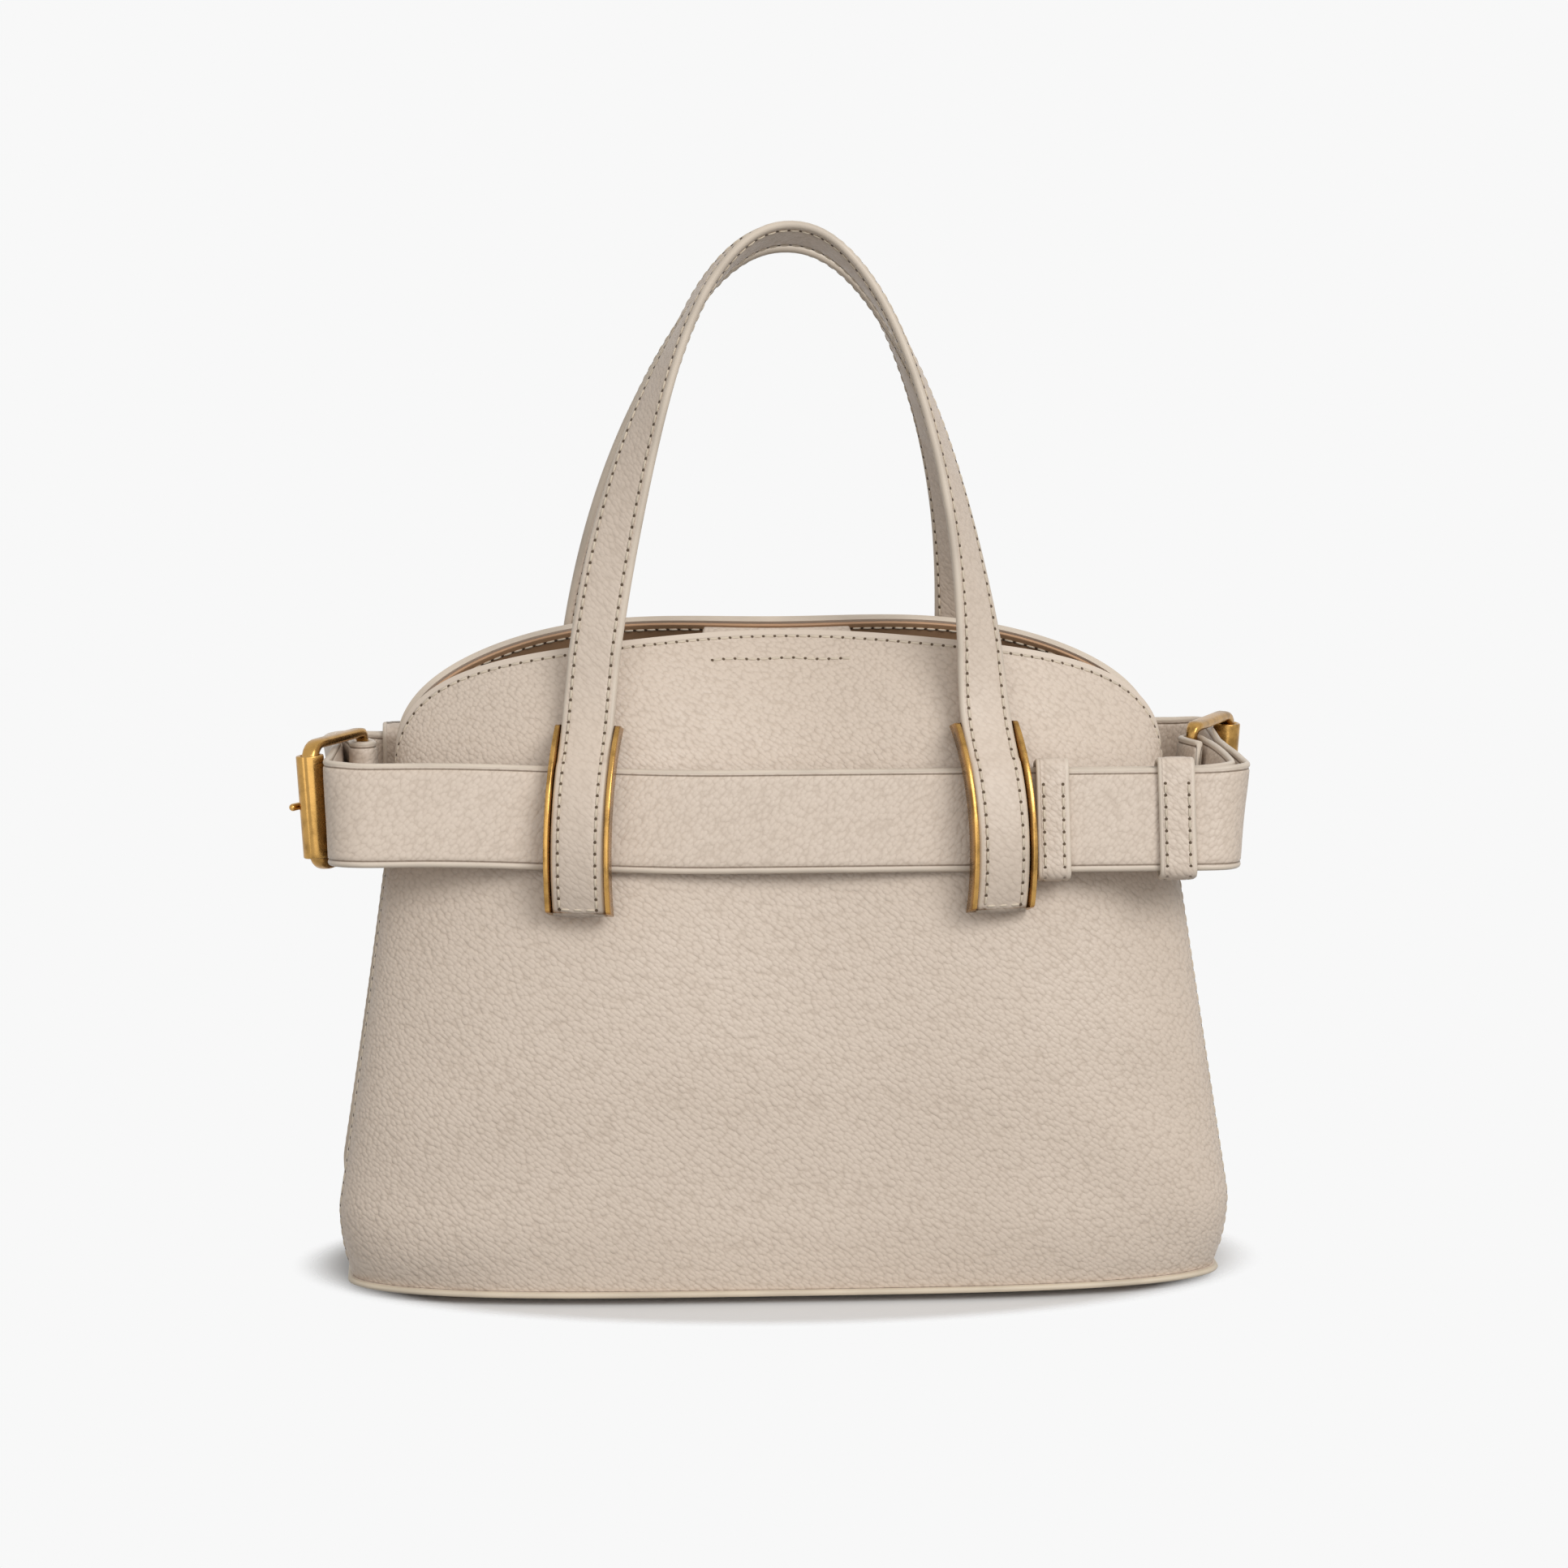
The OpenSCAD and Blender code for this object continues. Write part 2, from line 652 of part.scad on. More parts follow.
// The prong lies on the outside of the roller
ring_t = 1.4;
prong_rest = asin((roller_r + prong_r + seam_gap) / buckle_l);
prong_l = buckle_l + prong_past;
module prong() {
    rotate([0, 0, -prong_rest]) difference() {
        union() {
            cylinder(r = heel_r + pin_gap + ring_t, h = ring_h, center = true);
            rotate([0, 90, 0]) cylinder(r = prong_r, h = prong_l);
            translate([prong_l, 0, 0]) sphere(prong_r);
        }
        cylinder(r = heel_r + pin_gap, h = ring_h + 2 * overrun, center = true);
    }
}
module left_prong() color(brass) at_buckle() prong();
module right_prong() color(brass) opposite() at_buckle() prong();

// Belt: each half has a tongue at one end and folds round a heel bar at the other

// Place in plan beside the left buckle: u towards its roller, w outwards
function beside_buckle(u, w) =
    [-heel_x - u * sin(buckle_turn) - w * cos(buckle_turn),
        heel_y - u * cos(buckle_turn) + w * sin(buckle_turn)];

layer_gap = 0.5;
corner_room = 1.5;
tip_share = 0.33;
tongue_y = belt_y + belt_t + layer_gap;
fold_r = heel_r + soft_gap + belt_t / 2;
under_roller = roller_r + 2 * layer_gap + belt_t / 2;
tongue_start = fixed_keeper_x - fixed_keeper_w * tip_share;
// Side of the belt where it leaves a heel bar, as shares of the side distance and the belt's depth
side_mid_share = [0.972, 0.36];
// Share of the stretch from the heel bar to there that the folded end covers
fold_back_share = 0.8;

function corner(cx, cy, r, from, to, n) =
    [for (i = [0:n]) let(a = mix(from, to, i / n)) [cx + r * cos(a), cy + r * sin(a)]];
function inside(p, d) = [p[0] - sign(p[0]) * d, p[1]];
function flip(list) = [for (i = [len(list) - 1:-1:0]) -list[i]];

outer_mid = [-side_x * side_mid_share[0], belt_y * side_mid_share[1]];
layer_step = belt_t + layer_gap;

// Tongue from its tip, round the back left corner and through the left buckle
corner_steps = 7;
corner_past = 9;
tongue_plan = concat(
    [[-tongue_start, tongue_y]],
    corner(bend_r - side_x, tongue_y - bend_r, bend_r, 90, 180 + corner_past, corner_steps),
    [outer_mid, beside_buckle(buckle_l, -under_roller)]);
front_plan = concat(
    corner(bend_r - side_x, bend_r - belt_y, bend_r, 190, 270, corner_steps),
    [for (x = [-tray_x, 0, tray_x]) [x, -belt_y]]);
// Plain end: inside the other belt's tongue, then round the right heel bar and back
plain_mid = inside(-outer_mid, layer_step);
fold_back = inside(-outer_mid, 2 * layer_step);
plain_plan = concat(
    corner(side_x - bend_r - layer_step - corner_room, bend_r - belt_y, bend_r, -90, corner_past,
        corner_steps),
    [plain_mid]);
// Angle at which a line from a place beside the right buckle touches the fold
heel = [heel_x, -heel_y];
along = [sin(buckle_turn), cos(buckle_turn)];
outward = [cos(buckle_turn), -sin(buckle_turn)];
function touch(p, side) =
    let(v = p - heel) atan2(v * along, v * outward) + side * acos(fold_r / norm(v));
fold_from = touch(plain_mid, 1);
fold_to = touch(fold_back, -1) + 360;
fold_steps = 8;
function on_fold(a) = -beside_buckle(fold_r * sin(a), fold_r * cos(a));
belt_plan = concat(
    tongue_plan, front_plan, plain_plan,
    [for (i = [0:fold_steps]) on_fold(mix(fold_from, fold_to, i / fold_steps))],
    [mix(on_fold(fold_to), fold_back, fold_back_share)]);

side_from_share = 0.7;
function side_share(y) = smooth((belt_y - abs(y)) / (belt_y * (1 - side_from_share)));
function belt_up(p) =
    let(w = side_share(p[1]),
        side_dir = [cos(buckle_turn), -sin(buckle_turn)] * sign(p[0]) * sin(buckle_tilt),
        front_dir = [0, -sign(p[1])] * sin(belt_lean))
    unit([mix(front_dir[0], side_dir[0], w), mix(front_dir[1], side_dir[1], w), 1]);
belt_path = [for (p = belt_plan) [p[0], p[1], mix(belt_z, buckle_z, side_share(p[1]))]];

function belt_ring(i) =
    let(p = belt_path[i], tangent = path_tangent(belt_path, i),
        out = unit(cross(tangent, belt_up(p))), up = cross(out, tangent))
    strap_ring(p, up, out, belt_w, belt_t);

slot_gap = 0.4;
slot_mid_share = 0.35;
slot_share = 0.5;
module belt() {
    difference() {
        loft([for (i = [0:len(belt_path) - 1]) belt_ring(i)]);
        // Slot for the left prong in the tongue
        at_buckle() translate([prong_l * slot_mid_share, 0, 0])
            cube([prong_l * slot_share, prong_l, 2 * (prong_r + slot_gap)], center = true);
        // Slot for the ring of the right prong in the fold
        opposite() at_buckle()
            cube([4 * fold_r, 2 * fold_r + 2 * belt_t, ring_h + 2 * slot_gap], center = true);
    }
}
module front_belt() color(leather) belt();
module back_belt() color(leather) opposite() belt();

// Keepers: loops round both layers of the belt

keeper_y = (belt_y + tongue_y) / 2;
module keeper(x, w, gap) {
    opening_t = layer_step * cos(belt_lean) + belt_t + 2 * gap;
    opening_w = belt_w + layer_step * sin(belt_lean) + 2 * gap;
    translate([x, -keeper_y, belt_z]) rotate([-belt_lean, 0, 0]) rotate([0, 90, 0])
        linear_extrude(w, center = true) difference() {
            rounded_rect(opening_w + 2 * keeper_t, opening_t + 2 * keeper_t, keeper_t);
            square([opening_w, opening_t], center = true);
        }
}
module front_fixed_keeper() color(leather) keeper(fixed_keeper_x, fixed_keeper_w, soft_gap);
module back_fixed_keeper() color(leather) opposite() keeper(fixed_keeper_x, fixed_keeper_w, soft_gap);
module front_sliding_keeper() color(leather) keeper(slide_keeper_x, slide_keeper_w, soft_gap);
module back_sliding_keeper() color(leather)
    opposite() keeper(slide_keeper_x, slide_keeper_w, soft_gap);

front_panel();
back_panel();
left_gusset();
right_gusset();
base_panel();
base_board();
base_feet();
lining();
front_facing();
back_facing();
front_magnet_tab();
back_magnet_tab();
front_magnet();
back_magnet();
front_handle();
back_handle();
front_left_strap_end();
front_right_strap_end();
back_left_strap_end();
back_right_strap_end();
front_left_tray();
front_right_tray();
back_left_tray();
back_right_tray();
front_tray_screws();
back_tray_screws();
front_belt();
back_belt();
left_buckle_frame();
right_buckle_frame();
left_roller();
right_roller();
left_prong();
right_prong();
front_fixed_keeper();
back_fixed_keeper();
front_sliding_keeper();
back_sliding_keeper();
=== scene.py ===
import math
import bpy
import numpy as np
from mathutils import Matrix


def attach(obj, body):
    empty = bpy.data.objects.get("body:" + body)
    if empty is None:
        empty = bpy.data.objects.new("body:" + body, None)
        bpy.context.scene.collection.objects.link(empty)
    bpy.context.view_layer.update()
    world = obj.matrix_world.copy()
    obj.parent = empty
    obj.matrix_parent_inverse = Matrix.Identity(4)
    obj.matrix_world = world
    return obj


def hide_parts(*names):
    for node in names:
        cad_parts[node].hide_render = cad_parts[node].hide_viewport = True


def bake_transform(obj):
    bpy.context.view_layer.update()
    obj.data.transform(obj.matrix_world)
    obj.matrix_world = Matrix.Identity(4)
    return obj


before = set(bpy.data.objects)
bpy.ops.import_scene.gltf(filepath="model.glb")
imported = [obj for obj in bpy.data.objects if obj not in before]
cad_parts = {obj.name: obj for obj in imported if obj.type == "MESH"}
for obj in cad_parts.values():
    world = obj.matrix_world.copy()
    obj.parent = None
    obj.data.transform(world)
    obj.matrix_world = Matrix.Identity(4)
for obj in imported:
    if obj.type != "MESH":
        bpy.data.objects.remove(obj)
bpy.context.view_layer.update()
mm = 0.001  # the shapes below are worked out in millimetres, and the meshes are in metres
rootBody = "bag"
print("loaded", len(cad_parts), "nodes")


def smooth(t):  # from 0 to 1 by 3 t^2 - 2 t^3
    t = np.clip(t, 0, 1)
    return t * t * (3 - 2 * t)


def mix(a, b, t):  # from a to b by the share t
    return a + (b - a) * t


def unit(v):
    return v / np.maximum(np.linalg.norm(v, axis=-1, keepdims=True), 1e-12)


def halfTurn(points):
    return np.asarray(points) * np.array([-1.0, -1.0, 1.0])  # the back is the front turned about Z


def keep(points):
    return points


halves = (("front", keep), ("back", halfTurn))
sides = (("left", keep), ("right", halfTurn))


def cosSin(degrees):
    return math.cos(math.radians(degrees)), math.sin(math.radians(degrees))


def angles(count):
    return np.arange(count) * 2 * math.pi / count


def alongPath(path):
    return np.concatenate([[0], np.cumsum(np.linalg.norm(np.diff(path, axis=0), axis=1))])


# Materials

def sRgb(r, g, b):
    c = np.array([r, g, b]) / 255
    return tuple(np.where(c <= 0.04045, c / 12.92, ((c + 0.055) / 1.055) ** 2.4)) + (1.0,)


def startMaterial(name, colour, roughness, metallic=0.0, specular=0.5):
    material = bpy.data.materials.new(name)
    material.use_nodes = True
    tree = material.node_tree
    shader = tree.nodes["Principled BSDF"]
    shader.inputs["Base Color"].default_value = colour
    shader.inputs["Roughness"].default_value = roughness
    shader.inputs["Metallic"].default_value = metallic
    shader.inputs["Specular IOR Level"].default_value = specular
    return material, tree, shader


def add(tree, kind, settings=None, **inputs):
    node = tree.nodes.new("ShaderNode" + kind)
    for key, value in (settings or {}).items():
        setattr(node, key, value)
    for key, value in inputs.items():
        socket = node.inputs[int(key[1:])] if key[0] == "i" and key[1:].isdigit() else node.inputs[key]
        if isinstance(value, bpy.types.NodeSocket):
            tree.links.new(value, socket)
        else:
            socket.default_value = value
    return node


def ramp(tree, value, low, high, toLow=0.0, toHigh=1.0):
    node = add(tree, "MapRange", {"interpolation_type": "SMOOTHSTEP"}, i0=value, i1=low, i2=high,
        i3=toLow, i4=toHigh)
    return node.outputs[0]


def blendColours(tree, factor, first, second):
    return add(tree, "Mix", {"data_type": "RGBA"}, i0=factor, i6=first, i7=second).outputs[2]


def placeFor(tree, useUv, turn=0.0, stretch=1.0):
    source = add(tree, "TexCoord").outputs["UV" if useUv else "Object"]
    rotation = (0, 0, -turn) if useUv else (0, -turn, 0)
    inMillimetres = (1 / mm,) * 3
    place = add(tree, "Mapping", Vector=source, Rotation=rotation, Scale=inMillimetres).outputs[0]
    return add(tree, "Mapping", Vector=place, Scale=(stretch, 1, 1)).outputs[0] if stretch != 1 else place


# Leather look: the darker colour is painted shade in the valleys between pebbles, and also the tone of random
# darker clouds
leatherLook = {
    "colour": sRgb(207, 191, 175), "shadeAndCloudColour": sRgb(168, 150, 132), "edgeColour": sRgb(208, 193, 177),
    "lineColour": sRgb(112, 94, 76), "roughness": 0.48, "pebble": 1.3, "fine": 0.7, "fineShare": 0.1,
    "uneven": 0.68, "wobble": 0.4, "wobbleScale": 0.24, "swellScale": 0.16, "swellShare": 0.3,
    "poreScale": 3.0, "poreShare": 0.04, "cloudScale": 0.020, "cloudTone": 0.07, "turn": 38.0,
    "stretch": 0.64, "bumpHeight": 0.21, "valleyShadeTone": 0.30, "lineHalf": (0.12, 0.38), "lineTone": 0.85,
    "soft": (0.08, 0.2), "valleyShadeRange": (0.15, 0.8), "cloudRange": (0.35, 0.65), "bandSoft": 0.3,
    "sheen": 0.40, "roughRange": (0.3, 0.7), "roughLess": 0.05, "roughMore": 0.06,
}


# Pebbles: each is a low dome, 1 - 1.5 d^2 with d the smooth distance to its middle; two sizes
# are added, and a broad noise makes some stand higher. The valleys between the large pebbles are
# coloured darker, a painted shade of their relief, and a broad noise darkens clouds at random.
# Where band is set, the mesh carries its distance to the edge in millimetres, and the leather is
# smooth and painted within that distance
def grainedLeather(name, useUv, band=None, shift=0.0, line=None, relief=1.0):
    look = leatherLook
    material, tree, shader = startMaterial(name, look["colour"], look["roughness"], specular=look["sheen"])
    place = placeFor(tree, useUv, math.radians(look["turn"]), look["stretch"])
    place = add(tree, "VectorMath", {"operation": "ADD"}, i0=place, i1=(shift, shift, shift)).outputs[0]
    drift = add(tree, "TexNoise", Vector=place, Scale=look["wobbleScale"], Detail=2.0)
    away = add(tree, "VectorMath", {"operation": "SUBTRACT"}, i0=drift.outputs["Color"], i1=(0.5, 0.5, 0.5))
    scaled = add(tree, "VectorMath", {"operation": "SCALE"}, i0=away.outputs[0], Scale=look["wobble"] * 2)
    moved = add(tree, "VectorMath", {"operation": "ADD"}, i0=place, i1=scaled.outputs[0]).outputs[0]

    def domes(size, smoothness):
        cell = add(tree, "TexVoronoi", {"feature": "SMOOTH_F1"}, Vector=moved, Scale=1 / size,
            Smoothness=smoothness, Randomness=look["uneven"]).outputs["Distance"]
        square = add(tree, "Math", {"operation": "MULTIPLY"}, i0=cell, i1=cell).outputs[0]
        return add(tree, "Math", {"operation": "MULTIPLY_ADD"}, i0=square, i1=-1.5, i2=1.0).outputs[0]

    large, small = domes(look["pebble"], look["soft"][0]), domes(look["fine"], look["soft"][1])
    swell = add(tree, "TexNoise", Vector=place, Scale=look["swellScale"], Detail=2.0).outputs["Fac"]
    pores = add(tree, "TexNoise", Vector=place, Scale=look["poreScale"], Detail=2.0).outputs["Fac"]
    cloud = add(tree, "TexNoise", Vector=place, Scale=look["cloudScale"], Detail=3.0).outputs["Fac"]
    height = large
    for part, share in ((small, "fineShare"), (swell, "swellShare"), (pores, "poreShare")):
        height = add(tree, "Math", {"operation": "MULTIPLY_ADD"}, i0=part, i1=look[share],
            i2=height).outputs[0]
    # Painted shade: the valleys between the large pebbles are coloured darker
    valley = ramp(tree, large, *look["valleyShadeRange"], look["valleyShadeTone"] * relief, 0.0)
    colour = blendColours(tree, valley, look["colour"], look["shadeAndCloudColour"])
    # Random darker clouds, in the same darker colour
    clouded = ramp(tree, cloud, *look["cloudRange"], 0.0, look["cloudTone"])
    colour = blendColours(tree, clouded, colour, look["shadeAndCloudColour"])
    if band:
        edge = add(tree, "Attribute", {"attribute_name": "edgeDistance"}).outputs["Fac"]
        grained = ramp(tree, edge, band - look["bandSoft"], band + look["bandSoft"])
        height = add(tree, "Math", {"operation": "MULTIPLY"}, i0=height, i1=grained).outputs[0]
        colour = blendColours(tree, grained, look["edgeColour"], colour)
    if line:
        away = add(tree, "Math", {"operation": "SUBTRACT"}, i0=edge, i1=line).outputs[0]
        away = add(tree, "Math", {"operation": "ABSOLUTE"}, i0=away).outputs[0]
        drawn = ramp(tree, away, *look["lineHalf"], look["lineTone"], 0.0)
        colour = blendColours(tree, drawn, colour, look["lineColour"])
    bump = add(tree, "Bump", Strength=1.0, Distance=look["bumpHeight"] * relief * mm, Height=height)
    tree.links.new(bump.outputs[0], shader.inputs["Normal"])
    tree.links.new(colour, shader.inputs["Base Color"])
    rough = ramp(tree, swell, *look["roughRange"], look["roughness"] - look["roughLess"],
        look["roughness"] + look["roughMore"])
    tree.links.new(rough, shader.inputs["Roughness"])
    return material


smoothLook = {"sheen": 0.4, "broadScale": 0.05, "strength": 0.4, "darker": 0.86, "darkRange": (0.35, 0.7)}


# Smooth surfaces: a fine noise gives a little relief, and a broad one darkens parts of it
def smoothLeather(name, colour, roughness, bumpHeight, noiseScale=1.6):
    look = smoothLook
    material, tree, shader = startMaterial(name, colour, roughness, specular=look["sheen"])
    place = placeFor(tree, False)
    fine = add(tree, "TexNoise", Vector=place, Scale=noiseScale, Detail=4.0).outputs["Fac"]
    broad = add(tree, "TexNoise", Vector=place, Scale=look["broadScale"], Detail=2.0).outputs["Fac"]
    bump = add(tree, "Bump", Strength=look["strength"], Distance=bumpHeight * mm, Height=fine)
    tree.links.new(bump.outputs[0], shader.inputs["Normal"])
    dark = tuple(c * look["darker"] for c in colour[:3]) + (1.0,)
    colours = blendColours(tree, ramp(tree, broad, *look["darkRange"]), colour, dark)
    tree.links.new(colours, shader.inputs["Base Color"])
    return material


metalWear = {"patchScale": 0.11, "patchRough": 0.62, "speckScale": 2.2, "patchRange": (0.42, 0.66),
    "speckRange": (0.3, 0.7), "shinier": 0.05, "duller": 0.09, "speckHeight": 0.02, "speckStrength": 0.25}


# Metal: broad patches are tarnished darker, and fine specks change its shine
def metalLook(name, colour, darkColour, roughness, streak):
    wear = metalWear
    material, tree, shader = startMaterial(name, colour, roughness, metallic=1.0)
    place = placeFor(tree, False)
    patches = add(tree, "TexNoise", Vector=place, Scale=wear["patchScale"], Detail=6.0,
        Roughness=wear["patchRough"]).outputs["Fac"]
    specks = add(tree, "TexNoise", Vector=place, Scale=wear["speckScale"], Detail=3.0).outputs["Fac"]
    tone = ramp(tree, patches, *wear["patchRange"], 0.0, streak)
    tree.links.new(blendColours(tree, tone, colour, darkColour), shader.inputs["Base Color"])
    rough = ramp(tree, specks, *wear["speckRange"], roughness - wear["shinier"], roughness + wear["duller"])
    tree.links.new(rough, shader.inputs["Roughness"])
    bump = add(tree, "Bump", Strength=wear["speckStrength"], Distance=wear["speckHeight"] * mm,
        Height=specks)
    tree.links.new(bump.outputs[0], shader.inputs["Normal"])
    return material


# Cloth: two crossed waves stand for the threads
def wovenCloth(name, colour, darkColour, threadWidth, relief):
    material, tree, shader = startMaterial(name, colour, 0.85, specular=0.2)
    place = placeFor(tree, False)
    warp = add(tree, "TexWave", {"bands_direction": "DIAGONAL"}, Vector=place, Scale=1 / threadWidth)
    weft = add(tree, "TexWave", {"bands_direction": "Z"}, Vector=place, Scale=1 / threadWidth)
    both = add(tree, "Math", {"operation": "MULTIPLY"}, i0=warp.outputs["Fac"], i1=weft.outputs["Fac"])
    bump = add(tree, "Bump", Strength=0.5, Distance=relief * mm, Height=both.outputs[0])
    tree.links.new(bump.outputs[0], shader.inputs["Normal"])
    tree.links.new(blendColours(tree, both.outputs[0], darkColour, colour), shader.inputs["Base Color"])
    return material


bodyLeather = grainedLeather("grained leather", False)
panelLeather = grainedLeather("grained panel leather", False, 2.1)
strapLeather = grainedLeather("grained handle leather", True, shift=31.0, relief=0.62)
beltLeather = grainedLeather("grained belt leather", True, 1.6, 57.0, 2.0, 0.85)
keeperLeather = grainedLeather("grained keeper leather", True, 1.3, 83.0)
edgePaint = smoothLeather("edge paint", sRgb(207, 193, 176), 0.42, 0.03, 0.9)
baseEdge = smoothLeather("base edge paint", sRgb(200, 186, 165), 0.5, 0.03, 0.9)
tanLeather = smoothLeather("smooth tan leather", sRgb(184, 146, 113), 0.45, 0.05)
thread = smoothLeather("thread", sRgb(206, 192, 172), 0.7, 0.03, 4.0)
# Painted shade: a dark colour for the discs that stand for the shaded holes between stitches
needleHoleShade = smoothLeather("stitch hole shade", sRgb(92, 76, 60), 0.9, 0.02)
brass = metalLook("aged brass", sRgb(190, 148, 84), sRgb(104, 76, 38), 0.24, 0.6)
steel = metalLook("plain steel", sRgb(176, 176, 178), sRgb(150, 150, 154), 0.34, 0.2)
liningCloth = wovenCloth("lining cloth", sRgb(176, 155, 131), sRgb(140, 120, 98), 0.7, 0.15)
fibreBoard = smoothLeather("fibre board", sRgb(196, 186, 168), 0.85, 0.2)
print("materials made")


# Meshes

def gridFaces(rows, cols, wrapRows=False, wrapCols=False, start=0):
    i = np.arange(rows if wrapRows else rows - 1)
    j = np.arange(cols if wrapCols else cols - 1)
    i, j = np.meshgrid(i, j, indexing="ij")
    nextI, nextJ = (i + 1) % rows, (j + 1) % cols
    corners = [i * cols + j, i * cols + nextJ, nextI * cols + nextJ, nextI * cols + j]
    return np.stack(corners, -1).reshape(-1, 4) + start


def makeObject(name, points, faces, materials, slots=None, uv=None, edge=None):
    mesh = bpy.data.meshes.new(name)
    mesh.from_pydata((np.asarray(points) * mm).tolist(), [], [list(map(int, f)) for f in faces])
    for material in materials:
        mesh.materials.append(material)
    if slots is not None:
        mesh.polygons.foreach_set("material_index", np.asarray(slots, dtype=np.int32))
    if uv is not None:
        corner = np.empty(len(mesh.loops), dtype=np.int32)
        mesh.loops.foreach_get("vertex_index", corner)
        layer = mesh.uv_layers.new(name="UVMap")
        layer.data.foreach_set("uv", (np.asarray(uv) * mm)[corner].astype(np.float32).ravel())
    if edge is not None:
        layer = mesh.attributes.new("edgeDistance", "FLOAT", "POINT")
        layer.data.foreach_set("value", np.asarray(edge, dtype=np.float32))
    mesh.polygons.foreach_set("use_smooth", np.ones(len(mesh.polygons), dtype=bool))
    mesh.update()
    obj = bpy.data.objects.new(name, mesh)
    bpy.context.scene.collection.objects.link(obj)
    return obj


# Six times the volume inside, from the triangles and quads alone: its sign says which way they face
def signedVolume(points, faces):
    total = 0.0
    for size in (3, 4):
        group = np.array([f for f in faces if len(f) == size])
        if len(group):
            for k in range(1, size - 1):
                a, b, c = points[group[:, 0]], points[group[:, k]], points[group[:, k + 1]]
                total += np.einsum("ij,ij->i", a, np.cross(b, c)).sum()
    return total


def facingOut(points, faces):
    return [f[::-1] for f in faces] if signedVolume(points, faces) < 0 else faces


# Tube: a closed section carried along a path. rings is (steps, around, 3). The ends are closed
# by a fan to the middle of the end ring
def tube(name, rings, materials, closedPath=False, sectionSlots=None, uv=None, cuts=(), edge=None):
    steps, around = rings.shape[:2]
    points = rings.reshape(-1, 3)
    grid = gridFaces(steps, around, closedPath, True).reshape(-1, around, 4)
    kept = np.ones(grid.shape[:2], dtype=bool)
    own = np.zeros(around, dtype=int) if sectionSlots is None else sectionSlots
    slots = np.broadcast_to(own, kept.shape)
    walls = []
    for first, last, a, c in cuts:  # a slot through both faces, and its four walls
        kept[first:last, a:c] = False
        kept[first:last, around - c:around - a] = False
        i, k = np.arange(first, last), np.arange(a, c)
        at = lambda row, column: row * around + column
        below = lambda column: around - column
        walls += [np.stack([at(i + 1, a), at(i, a), at(i, below(a)), at(i + 1, below(a))], -1),
            np.stack([at(i, c), at(i + 1, c), at(i + 1, below(c)), at(i, below(c))], -1),
            np.stack([at(first, k), at(first, k + 1), at(first, below(k + 1)), at(first, below(k))], -1),
            np.stack([at(last, k + 1), at(last, k), at(last, below(k)), at(last, below(k + 1))], -1)]
    faces, slots = grid[kept].tolist(), slots[kept].tolist()
    for wall in walls:
        faces += wall.tolist()
        slots += [1] * len(wall)
    coords = None if uv is None else uv.reshape(-1, 2)
    edges = None if edge is None else np.tile(edge, steps)
    if not closedPath:
        middles = np.array([rings[0].mean(0), rings[-1].mean(0)])
        points = np.vstack([points, middles])
        j = np.arange(around)
        first = np.stack([np.full(around, len(points) - 2), (j + 1) % around, j], -1)
        last = np.stack([np.full(around, len(points) - 1), j, (j + 1) % around], -1)
        last[:, 1:] += (steps - 1) * around
        faces += first.tolist() + last.tolist()
        endSlot = 0 if sectionSlots is None else max(sectionSlots)
        slots += [endSlot] * (2 * around)
        if coords is not None:
            coords = np.vstack([coords, uv[0].mean(0), uv[-1].mean(0)])
        if edges is not None:
            edges = np.append(edges, [0, 0])
    return makeObject(name, points, facingOut(points, faces), materials, slots, coords, edges)


def resample(path, spacing, *others):
    along = alongPath(path)
    count = max(2, int(round(along[-1] / spacing)) + 1)
    at = np.linspace(0, along[-1], count)
    out = [np.stack([np.interp(at, along, column) for column in rows.T], -1) for rows in (path, *others)]
    return out if others else out[0]


# Softened path: a running average along the path, its ends kept
def soften(path, times):
    out = path.copy()
    for _ in range(times):
        out[1:-1] = (out[:-2] + 2 * out[1:-1] + out[2:]) / 4
    return out


def tangents(path):
    return unit(np.gradient(path, axis=0))


# Thickness inwards from the surface, with a rounded rim in the second material
def thicken(obj, thickness, bevelWidth):
    solid = obj.modifiers.new("Thickness", "SOLIDIFY")
    solid.thickness = thickness * mm
    solid.offset = -1.0
    solid.use_even_offset = True
    solid.material_offset_rim = 1
    bevel = obj.modifiers.new("Rounded edges", "BEVEL")
    bevel.width = bevelWidth * mm
    bevel.segments = 3
    bevel.limit_method = "ANGLE"
    bevel.angle_limit = math.radians(50)


# Leather sheet: a grid of places on its outer face, with thickness inwards
def leatherSheet(name, grid, materials, thickness, bevelWidth, edge=None):
    faces = gridFaces(*grid.shape[:2]).tolist()
    obj = makeObject(name, grid.reshape(-1, 3), faces, materials, edge=edge)
    thicken(obj, thickness, bevelWidth)
    return obj


def goesWith(obj, body, *nodes, slot=None):
    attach(obj, body)
    if nodes:
        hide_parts(*nodes)
    return obj


# Stitches

stitchWork = {"pitch": 3.7, "length": 3.0, "width": 0.92, "height": 0.6, "sink": 0.14, "holeRadius": 0.56,
    "holeLift": 0.03, "around": 6, "stations": (-0.44, -0.28, 0.0, 0.28, 0.44), "rise": 0.1}
